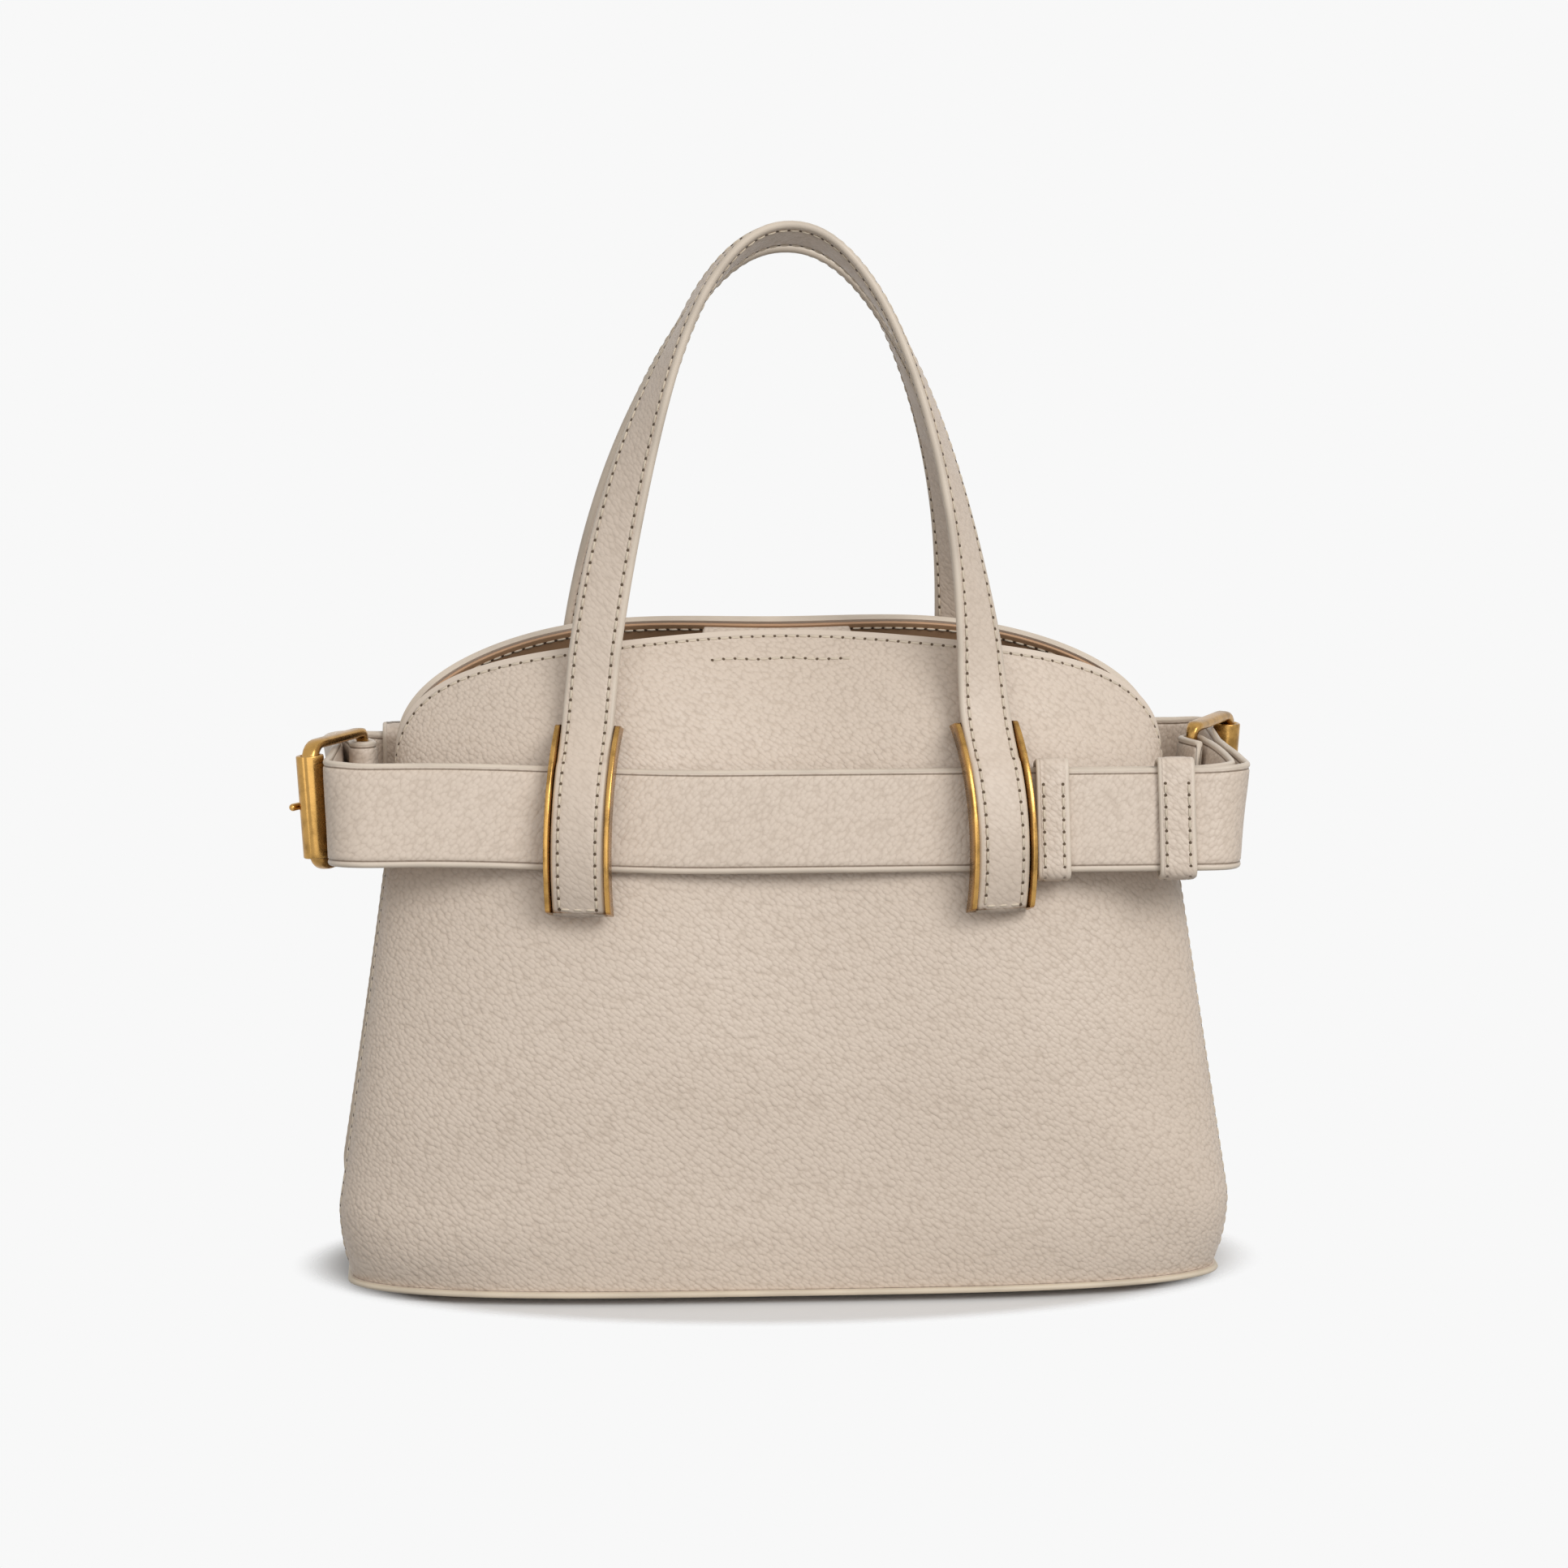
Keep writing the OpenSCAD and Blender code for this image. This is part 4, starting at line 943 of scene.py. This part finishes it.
handleSet = {"hinge": (62.877, -41.4274, 188.751), "topY": 11.0, "widthPower": 0.47, "heightPower": 1.32,
    "twistAt": (0, 0.1, 0.21, 0.36, 0.53, 0.70, 0.86, 0.94, 1),
    "leftTwist": (13, 14, 17, 26, 44, 66, 87, 93, 104),
    "rightTwist": (13, 25, 41, 57, 67, 78, 90, 94, 104), "sway": 2.6, "frontBow": 2.4, "backBow": 3.6,
    "frontRise": 149.649, "backRise": 147.149, "spacing": 2.4, "arch": 241, "turnSoft": 60, "hingeSoft": 30,
    "hingeReach": 16.0, "blendBelow": 4.0, "blendAbove": 12.0}


def handlePath(rise, way, bow):
    h = handleSet
    x, y, z = h["hinge"]
    bend = np.linspace(0, math.pi, h["arch"])
    c = -np.sign(np.cos(bend)) * np.abs(np.cos(bend)) ** (2 * h["widthPower"])
    share = np.maximum(0, 1 - np.abs(c) ** (1 / h["widthPower"])) ** (1 / h["heightPower"])
    rightLeg = c * way > 0
    shift = h["sway"] * share ** 1.6 + np.where(rightLeg, bow * np.sin(math.pi * share), 0)
    arch = np.stack([c * x + way * shift, mix(y, -h["topY"], share), z + rise * share], -1)
    turnBy = np.where(rightLeg, np.interp(share, h["twistAt"], h["rightTwist"]),
        np.interp(share, h["twistAt"], h["leftTwist"]))
    plane = unit(np.array([0, -h["topY"] - y, rise]))
    front = np.cross([1, 0, 0], plane)
    tangent = tangents(arch)
    tangent[0], tangent[-1] = plane, -plane
    outward = unit(np.cross(front, tangent))
    twist = np.radians(soften(turnBy[:, None], h["turnSoft"]))
    face = front * np.cos(twist) + outward * np.sin(twist)
    reach = math.asin(traySet["halfLength"] / strapSet["strapRadius"])
    a = np.linspace(-reach, reach, 41)
    inTray = onBow(0 * a, strapSet["strapRadius"], a)
    inTrayOut = np.stack([0 * a, -np.cos(a), np.sin(a)], -1)
    left, leftOut = atTray(inTray, -1), atTray(inTrayOut, -1, True)
    right, rightOut = atTray(inTray, 1)[::-1], atTray(inTrayOut, 1, True)[::-1]
    path = np.vstack([left, arch[2:-2], right])
    out = np.vstack([leftOut, face[2:-2], rightOut])
    path, out = resample(path, h["spacing"], out)
    out = unit(out)
    joined = np.abs(path[:, 2:] - z) < h["hingeReach"]  # only the turn at the hinge line is eased
    path = np.where(joined, soften(path, h["hingeSoft"]), path)
    return path, np.where(joined, unit(soften(out, h["hingeSoft"])), out)


def makeHandle(place, turn):
    name, h, s = place + "_handle", handleSet, strapSet
    path, out = handlePath(h[place + "Rise"], turn(np.array([1.0, 0, 0]))[0], h[place + "Bow"])
    path, out = turn(path), turn(out)
    section = strapSection(s["width"], s["thickness"], s["puff"])
    obj, side, out = strap(name + "_strap", path, out, section, [strapLeather, edgePaint])
    hinge = turn(np.array(h["hinge"]) * [0, 1, 1])
    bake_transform(obj)
    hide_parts(name, place + "_left_strap_end", place + "_right_strap_end")
    inner = slice(1, -1)
    toRow, toFace = s["width"] / 2 - s["stitchIn"], s["thickness"] / 2
    for k, sideShift in (("a", 1), ("b", -1)):
        for face, lift in (("outer", 1), ("inner", -1)):
            row = path + side * sideShift * toRow + out * lift * (toFace - s["rowSink"])
            stitches = stitchMesh("%s_%s_stitches_%s" % (name, face, k), row[inner], out[inner] * lift)
            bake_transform(stitches)
    across = np.linspace(-1, 1, 13)[:, None] * toRow
    for k, end in (("left", 1), ("right", -2)):
        row = path[end] + side[end] * across + out[end] * (toFace + s["endLift"])
        normals = np.repeat(out[end][None], len(row), 0)
        goesWith(stitchMesh("%s_end_stitches_%s" % (name, k), row, normals), rootBody)


for name, turn in halves:
    makeHandle(name, turn)
print("handles made")


# Belts: one half is drawn, and the other is it turned half round. In plan the tongue comes round
# the back left corner and through the left buckle, the belt crosses the front, goes round the
# right corner and folds round the right heel bar. Its width leans with the body at the front

beltSet = {
    "width": 33.2, "thickness": 2.6, "puff": 0.12, "edge": 0.84, "creaseIn": 2.0, "creaseDepth": 0.42,
    "z": 154.3, "lean": 15.4007, "y": 51.011, "tongueY": 54.111, "tongueStart": 80.468, "sideX": 146.0,
    "bendR": 12.0, "layerStep": 3.1,
    "cornerRoom": 1.5, "cornerPast": 9.0, "sideFrom": 0.7, "sideMid": (0.972, 0.36), "foldR": 3.4,
    "foldBack": 0.8, "underRoller": 6.76, "spacing": 1.5, "tipRound": 3.0, "lateFrom": 40.0, "lateOver": 26.0,
    "climbFrom": 20.0, "climbOver": 100.0, "flareLean": 8.0, "flareFrom": (122.0, 6.0),
    "flareOver": (14.0, 24.0), "foldReach": 9.0, "soft": 8, "slotShare": (0.04, 0.65), "slotBefore": -120.0,
    "slotReach": 200.0, "ringSlot": (6.8, 6.0),
}
buckleSet = {
    "x": 134.4, "y": 2.98527, "z": 157.3, "turn": 27.0, "tilt": 4.2, "length": 36.0, "heelR": 1.8,
    "axle": (2.5, 2.6), "rollerR": 4.46, "rollerL": 33.0, "frameH": 35.8, "barH": 3.2, "barW": 5.2,
    "prongR": 1.4, "prongPast": 2.5, "prongRest": 9.5295, "ringH": 5.0, "ringR": 3.26, "slotHalf": 2.2,
    "ringSlotHalf": 2.9,
}


def besideBuckle(u, w):
    c, s = cosSin(buckleSet["turn"])
    return np.stack([-buckleSet["x"] - u * s - w * c, buckleSet["y"] - u * c + w * s], -1)


def corner(cx, cy, r, start, end, count=24):
    a = np.radians(np.linspace(start, end, count))
    return np.column_stack([cx + r * np.cos(a), cy + r * np.sin(a)])


def beltPlan():
    t = beltSet
    outerMid = np.array([-t["sideX"] * t["sideMid"][0], t["y"] * t["sideMid"][1]])
    along = np.array(cosSin(buckleSet["turn"])[::-1])
    outward = np.array([along[1], -along[0]])
    heel = np.array([buckleSet["x"], -buckleSet["y"]])
    plainMid = -outerMid - [t["layerStep"], 0]
    foldBack = -outerMid - [2 * t["layerStep"], 0]

    def touch(p, side):
        v = p - heel
        return math.degrees(math.atan2(v @ along, v @ outward)) + side * math.degrees(
            math.acos(t["foldR"] / np.linalg.norm(v)))

    a = np.radians(np.linspace(touch(plainMid, 1), touch(foldBack, -1) + 360, 24))
    fold = -besideBuckle(t["foldR"] * np.sin(a), t["foldR"] * np.cos(a))
    r, past = t["bendR"], t["cornerPast"]
    rightX = t["sideX"] - r - t["layerStep"] - t["cornerRoom"]
    parts = [
        np.array([[-t["tongueStart"], t["tongueY"]]]),
        corner(r - t["sideX"], t["tongueY"] - r, r, 90, 180 + past),
        outerMid[None],
        besideBuckle(np.array([buckleSet["length"]]), np.array([-t["underRoller"]])),
        corner(r - t["sideX"], r - t["y"], r, 190, 270),
        corner(rightX, r - t["y"], r, -90, past),
        plainMid[None],
        fold,
        mix(fold[-1], foldBack, t["foldBack"])[None],
    ]
    return np.vstack(parts)


# Share of the side: zero at the front and back, one beside the bag. It starts late at the end
# that folds round the heel bar, and at the tongue
def sideShare(x, y):
    early = smooth((beltSet["y"] - np.abs(y)) / (beltSet["y"] * (1 - beltSet["sideFrom"])))
    late = smooth((beltSet["lateFrom"] - np.abs(y)) / beltSet["lateOver"])
    return np.where((x < 0) & (y < 0), early, late)


def beltPath():
    t = beltSet
    plan = resample(beltPlan(), t["spacing"])
    far = np.linalg.norm(plan - [buckleSet["x"], -buckleSet["y"]], axis=1) > t["foldReach"]
    plan = np.where(far[:, None], soften(plan, t["soft"]), plan)
    x, y = plan.T
    share = sideShare(x, y)[:, None]
    climb = np.where(y < 0, smooth((-x - t["climbFrom"]) / t["climbOver"]), 0)  # up towards the left buckle
    c, s = cosSin(buckleSet["turn"])
    sideLean = np.array([c, -s]) * np.sign(plan[:, :1]) * cosSin(buckleSet["tilt"])[1]
    frontLean = np.column_stack([0 * y, -np.sign(y)]) * cosSin(t["lean"])[1]
    near = smooth((np.abs(plan) - t["flareFrom"]) / t["flareOver"]).prod(1)  # corner past the keepers
    flare = np.where(x * y < 0, near, 0) * np.sign(x) * cosSin(t["flareLean"])[1]
    up = unit(np.column_stack([mix(frontLean, sideLean, share) + np.column_stack([flare, 0 * flare]),
        np.ones(len(plan))]))
    rise = np.maximum(share[:, 0], climb) * (buckleSet["z"] - t["z"])
    inwards = rise * (1 - share[:, 0]) * math.tan(math.radians(t["lean"])) * np.where(x < 0, -np.sign(y), 0)
    path = np.column_stack([x, y + inwards, t["z"] + rise])
    return path, unit(np.cross(tangents(path), up))


def makeBelt(name, turn):
    t, k = beltSet, buckleSet
    path, out = beltPath()
    section = strapSection(t["width"], t["thickness"], t["puff"], t["creaseDepth"], t["creaseIn"], t["edge"],
        26, 5, lines=(-k["ringSlotHalf"], -k["slotHalf"], k["slotHalf"], k["ringSlotHalf"]))
    profile = section[0]
    top = len(profile) // 2
    column = lambda u: int(np.argmin(np.abs(profile[:top, 0] - u) + (profile[:top, 1] < 0.6)))
    fromTip = alongPath(path)
    tip = np.clip(fromTip / t["tipRound"], 0, 1)
    width = 1 - (1 - np.sqrt(1 - (1 - tip) ** 2)) * t["tipRound"] / (t["width"] / 2)
    shape = np.column_stack([width, np.ones(len(path))])
    c, s = cosSin(k["turn"])
    v = path[:, :2] - [-k["x"], k["y"]]
    u = -(v[:, 0] * s + v[:, 1] * c)
    reach = k["length"] + k["prongPast"]
    start, end = (share * reach for share in t["slotShare"])
    onTongue = (path[:, 0] < t["slotBefore"]) & (fromTip < t["slotReach"])
    open1 = np.flatnonzero((u > start) & (u < end) & onTongue)
    v = path[:, :2] - [k["x"], -k["y"]]
    along, across = np.abs(v[:, 0] * s + v[:, 1] * c), np.abs(v[:, 0] * c - v[:, 1] * s)
    open2 = np.flatnonzero((along < t["ringSlot"][0]) & (across < t["ringSlot"][1]))
    cuts = [(open1[0], open1[-1], column(k["slotHalf"]), column(-k["slotHalf"])),
        (open2[0], open2[-1], column(k["ringSlotHalf"]), column(-k["ringSlotHalf"]))]
    obj = strap(name + "_strap", turn(path), turn(out), section, [beltLeather, edgePaint], shape=shape,
        cuts=cuts)[0]
    goesWith(obj, rootBody, name, slot="grained_leather")


for name, turn in halves:
    makeBelt(name + "_belt", turn)
print("belts made")


# Buckles, in a frame whose x runs from the heel bar to the roller and -y points outwards

def atBuckle(points):
    k = buckleSet
    return rotZ(rotX(points, k["tilt"]), -90 - k["turn"]) + [-k["x"], k["y"], k["z"]]


# Frame: one bar bent into a rounded rectangle; its half depth and half thickness change
# smoothly from the round heel bar to the flat end bars and the round axle
frameSet = {"heelCorner": 2.6, "rollerCorner": 5.6, "cornerSteps": 8, "around": 20, "spacing": 1.6,
    "squareness": 0.72}


def makeFrame(name, turn):
    k = buckleSet
    z = k["frameH"] / 2 + k["barH"] / 2
    pieces, sizes = [], []

    def bend(cx, cz, r, start, end, sizeA, sizeB):
        a = np.radians(np.linspace(start, end, frameSet["cornerSteps"]))
        share = smooth(np.linspace(0, 1, len(a)))[:, None]
        pieces.append(np.column_stack([cx + r * np.cos(a), 0 * a, cz + r * np.sin(a)]))
        sizes.append(mix(np.array(sizeA)[None], np.array(sizeB)[None], share))

    heel, bar, axle = (k["heelR"], k["heelR"]), (k["barH"] / 2, k["barW"] / 2), k["axle"]
    h, r = frameSet["heelCorner"], frameSet["rollerCorner"]
    bend(h, z - h, h, 180, 90, heel, bar)
    bend(k["length"] - r, z - r, r, 90, 0, bar, axle)
    bend(k["length"] - r, r - z, r, 0, -90, axle, bar)
    bend(h, h - z, h, -90, -180, bar, heel)
    path, size = np.vstack(pieces), np.vstack(sizes)
    path, size = resample(np.vstack([path, path[:1]]), frameSet["spacing"], np.vstack([size, size[:1]]))
    path, size = path[:-1], size[:-1]
    tangent = unit(np.roll(path, -1, 0) - np.roll(path, 1, 0))
    depth = np.array([0.0, -1.0, 0.0])
    inPlane = np.cross(tangent, depth)
    a = angles(frameSet["around"])
    lobe = lambda f: np.sign(f) * np.abs(f) ** frameSet["squareness"]  # a squarish oval
    rings = (path[:, None] + inPlane[:, None] * (size[:, :1] * lobe(np.cos(a)))[..., None]
        + depth * (size[:, 1:] * lobe(np.sin(a)))[..., None])
    flat = turn(atBuckle(rings.reshape(-1, 3))).reshape(rings.shape)
    goesWith(tube(name + "_cast", flat, [brass], True), rootBody, name, slot="antique_brass")


# Roller: a sheet rolled into a tube. A fine seam down it takes exp(-(a / 0.07)^2) off its radius,
# and its ends are rolled in
rollerSet = {"sheet": 1.2, "seamAt": 3.0, "seamDepth": 0.5, "seamHalf": 0.07, "round": 0.45, "endIn": 0.1,
    "around": 64}


def makeRoller(name, turn):
    k, w = buckleSet, rollerSet
    a = angles(w["around"])
    seam = math.radians(w["seamAt"])
    away = np.angle(np.exp(1j * (a - seam)))
    outer = k["rollerR"] - w["seamDepth"] * np.exp(-(away / w["seamHalf"]) ** 2)
    inner = np.full(len(a), k["rollerR"] - w["sheet"])
    half = k["rollerL"] / 2
    bend = np.radians(np.linspace(0, 90, 5))
    inset = w["round"] * (1 - np.cos(bend))
    rise = half - w["round"] * (1 - np.sin(bend))
    rows = [(outer - i, np.full(len(a), z)) for i, z in zip(inset, rise)]
    innerEnd = np.full(len(a), half - w["endIn"])
    rows = [(r, -z) for r, z in rows[::-1]] + rows + [(inner, innerEnd), (inner, -innerEnd)]
    rings = np.array([np.column_stack([k["length"] + r * np.cos(a), r * np.sin(a), z]) for r, z in rows])
    points = rings.reshape(-1, 3)
    faces = facingOut(points, gridFaces(len(rows), len(a), True, True).tolist())
    sleeve = makeObject(name + "_sleeve", turn(atBuckle(points)), faces, [brass])
    goesWith(sleeve, name, name, slot="antique_brass")


# Prong: an eye round the heel bar, and a bar that narrows to a rounded tip
prongSet = {"start": 0.5, "bar": (3.2, 2.0), "tip": 1.4, "tipSteps": 7, "tipEnd": 0.04, "taperTo": 0.86,
    "taperFrom": 4.0, "taperOver": 30.0, "around": 24, "eyeAround": 32, "rimRound": 0.5, "boreRound": 0.2,
    "boreRoom": 0.08}


def makeProng(name, turn):
    k, w, around = buckleSet, prongSet, prongSet["around"]
    a = angles(around)
    tip = np.linspace(0, math.pi / 2, w["tipSteps"])
    x = np.concatenate([[k["heelR"] + w["start"]], np.linspace(w["bar"][0], k["length"] - w["bar"][1], 12),
        k["length"] + k["prongPast"] + w["tip"] * np.sin(tip)])
    radius = k["prongR"] * mix(1.0, w["taperTo"], smooth((x - w["taperFrom"]) / w["taperOver"]))
    radius[-len(tip):] *= np.maximum(np.cos(tip), w["tipEnd"])
    bar = np.stack([np.repeat(x[:, None], around, 1), np.outer(radius, np.cos(a)),
        np.outer(radius, np.sin(a))], -1).reshape(-1, 3)
    barFaces = gridFaces(len(x), around, False, True).tolist() + [list(range(around))[::-1],
        list(range(len(bar) - around, len(bar)))]
    barFaces = facingOut(bar, barFaces)
    half, soft, inSoft = k["ringH"] / 2, w["rimRound"], w["boreRound"]
    bore, rim = k["heelR"] + w["boreRoom"], k["ringR"]
    profile = np.array([[rim, -half + soft], [rim, half - soft], [rim - soft, half], [bore + inSoft, half],
        [bore, half - inSoft], [bore, inSoft - half], [bore + inSoft, -half], [rim - soft, -half]])
    ring = turned(profile, w["eyeAround"]).reshape(-1, 3)
    ringFaces = facingOut(ring, gridFaces(len(profile), w["eyeAround"], True, True).tolist())
    points = rotZ(np.vstack([bar, ring]), -k["prongRest"])
    faces = barFaces + [[v + len(bar) for v in f] for f in ringFaces]
    pin = makeObject(name + "_pin", turn(atBuckle(points)), faces, [brass])
    goesWith(pin, name, name, slot="antique_brass")


for name, turn in sides:
    makeFrame(name + "_buckle_frame", turn)
    makeRoller(name + "_roller", turn)
    makeProng(name + "_prong", turn)
print("buckles made")


# Keepers: a band round both layers of the belt, stitched along its two edges

keeperSet = {"y": 52.561, "openT": 6.189, "openW": 35.423, "thickness": 1.8, "corner": 1.9, "bow": 0.35,
    "puff": 0.10, "valley": 0.12, "edge": 0.84, "stitchIn": 2.2, "spacing": 1.5, "frontFrom": 1.2,
    "fixed": (83.9, 10.6), "sliding": (123.5, 11.9)}


def makeKeeper(name, x, width, body, turn):
    k = keeperSet
    r = k["corner"]
    y, z = k["openT"] / 2 + k["thickness"] / 2 - r, k["openW"] / 2 + k["thickness"] / 2 - r
    line = np.vstack([corner(cy, cz, r, start, start + 90, 9)
        for cy, cz, start in ((-y, z, 90), (-y, -z, 180), (y, -z, 270), (y, z, 0))])
    line = resample(np.vstack([line, line[:1]]), k["spacing"])[:-1]
    bulge = k["bow"] * (1 - (line[:, 1] / (z + r)) ** 2)
    line[:, 0] += np.where(line[:, 0] < 0, -bulge, 0)
    path = np.column_stack([np.zeros(len(line)), line])
    along = unit(np.roll(path, -1, 0) - np.roll(path, 1, 0))
    out = np.cross(along, [1.0, 0, 0])
    out = out * np.sign(np.sum(out * path, -1, keepdims=True).mean())
    place = lambda p: turn(rotX(p, -beltSet["lean"]) + [x, -k["y"], beltSet["z"]])
    path, out = place(path), turn(rotX(out, -beltSet["lean"]))
    section = strapSection(width, k["thickness"], k["puff"], k["valley"], k["stitchIn"], k["edge"], 12, 5)
    obj, side, out = strap(name + "_band", path, out, section, [keeperLeather, edgePaint], True)
    goesWith(obj, body, name, slot="grained_leather")
    middle = turn(np.array([x, -k["y"], beltSet["z"]]))
    front = np.flatnonzero(turn(path - middle)[:, 1] < -k["frontFrom"])
    if (np.diff(front) > 1).any():
        front = np.roll(front, -int(np.argmax(np.diff(front)) + 1))
    for edge, sign in (("a", 1), ("b", -1)):
        row = path + side * sign * (width / 2 - k["stitchIn"]) + out * (k["thickness"] / 2)
        goesWith(stitchMesh(name + "_stitches_" + edge, row[front], out[front]), body)


for name, turn in halves:
    makeKeeper(name + "_fixed_keeper", *keeperSet["fixed"], rootBody, turn)
    makeKeeper(name + "_sliding_keeper", *keeperSet["sliding"], name + "_sliding_keeper", turn)
print("keepers made")


# Camera, lights, floor

viewSet = {"elevation": 8.5, "azimuth": -3.7, "distance": 1700.0, "target": (0.0, 0.0, 158.7),
    "shiftRight": 1.81, "lens": 119.36}


def makeCamera():
    v = viewSet
    a, e = math.radians(v["azimuth"]), math.radians(v["elevation"])
    target = np.array(v["target"]) + v["shiftRight"] * np.array([math.cos(a), math.sin(a), 0])
    away = np.array([math.sin(a) * math.cos(e), -math.cos(a) * math.cos(e), math.sin(e)])
    place = target + v["distance"] * away
    data = bpy.data.cameras.new("camera")
    data.lens, data.sensor_width, data.clip_start, data.clip_end = v["lens"], 36.0, 0.05, 50.0
    camera = bpy.data.objects.new("camera", data)
    camera.location = tuple(place * mm)
    camera.rotation_euler = (math.pi / 2 - e, 0, a)
    bpy.context.scene.collection.objects.link(camera)
    bpy.context.scene.camera = camera


lamps = {
    "key": {"toward": (0.46, -0.68, 0.57), "strength": 1.5, "spread": 30.0},
    "fill": {"toward": (-0.1, -0.95, 0.25), "strength": 0.75, "spread": 60.0},
}


def makeSun(name, toward, strength, spread):
    data = bpy.data.lights.new(name, "SUN")
    data.energy, data.angle = strength, math.radians(spread)
    lamp = bpy.data.objects.new(name, data)
    x, y, z = toward
    lamp.rotation_euler = (math.atan2(math.hypot(x, y), z), 0, math.atan2(x, -y))
    bpy.context.scene.collection.objects.link(lamp)


# Background: plain white where it is seen, and a dimmer sky for the light. The floor shows only
# near the bag, where it carries the shadow, and clears on an oval to the background. Its colour
# is darker than the background: a painted contact shadow round the base, fading out on the oval
floorSet = {"radius": 3.2, "rings": 12, "around": 64, "backColour": 0.939, "skyFrom": -0.35, "skyTo": 0.6,
    "skyLow": 0.24, "skyHigh": 0.60, "shadowFloorColour": 0.72, "oval": (0.154, 0.088), "fadeFrom": 0.92,
    "fadeTo": 1.05}


def makeStudio():
    w = floorSet
    world = bpy.data.worlds.new("studio")
    world.use_nodes = True
    tree = world.node_tree
    tree.nodes.clear()
    rays = add(tree, "LightPath").outputs
    seen = add(tree, "Math", {"operation": "MAXIMUM"}, i0=rays["Is Camera Ray"], i1=rays["Is Glossy Ray"])
    seen = add(tree, "Math", {"operation": "MAXIMUM"}, i0=seen.outputs[0], i1=rays["Is Transmission Ray"])
    way = add(tree, "SeparateXYZ", Vector=add(tree, "TexCoord").outputs["Generated"]).outputs["Z"]
    sky = ramp(tree, way, w["skyFrom"], w["skyTo"], w["skyLow"], w["skyHigh"])
    dim = add(tree, "Background", Color=(1, 1, 1, 1), Strength=sky)
    clear = add(tree, "Background", Color=(w["backColour"],) * 3 + (1,), Strength=1.0)
    both = add(tree, "MixShader", i0=seen.outputs[0], i1=dim.outputs[0], i2=clear.outputs[0])
    add(tree, "OutputWorld", Surface=both.outputs[0])
    bpy.context.scene.world = world
    reach = np.linspace(0.02, 1, w["rings"]) * w["radius"] / mm
    points = turned(np.column_stack([reach, 0 * reach]), w["around"]).reshape(-1, 3)
    grid = gridFaces(w["rings"], w["around"], False, True).tolist()
    faces = [f[::-1] for f in grid] + [list(range(w["around"]))]
    # Painted shadow: the floor's darker colour makes the contact shadow round the base
    material, tree, shader = startMaterial("floor", (w["shadowFloorColour"],) * 3 + (1,), 0.9, specular=0.1)
    place = add(tree, "TexCoord").outputs["Object"]
    flat = add(tree, "Mapping", Vector=place, Scale=(1 / w["oval"][0], 1 / w["oval"][1], 1)).outputs[0]
    far = add(tree, "VectorMath", {"operation": "LENGTH"}, i0=flat).outputs["Value"]
    clearing = ramp(tree, far, w["fadeFrom"], w["fadeTo"])
    through = add(tree, "BsdfTransparent")
    shown = add(tree, "MixShader", i0=clearing, i1=shader.outputs[0], i2=through.outputs[0])
    tree.links.new(shown.outputs[0], tree.nodes["Material Output"].inputs["Surface"])
    floor = makeObject("floor", points, faces, [material])


makeCamera()
makeStudio()
for name, lamp in lamps.items():
    makeSun(name, **lamp)
bpy.context.scene.view_settings.view_transform = "Standard"
print("camera, lamps and floor made")
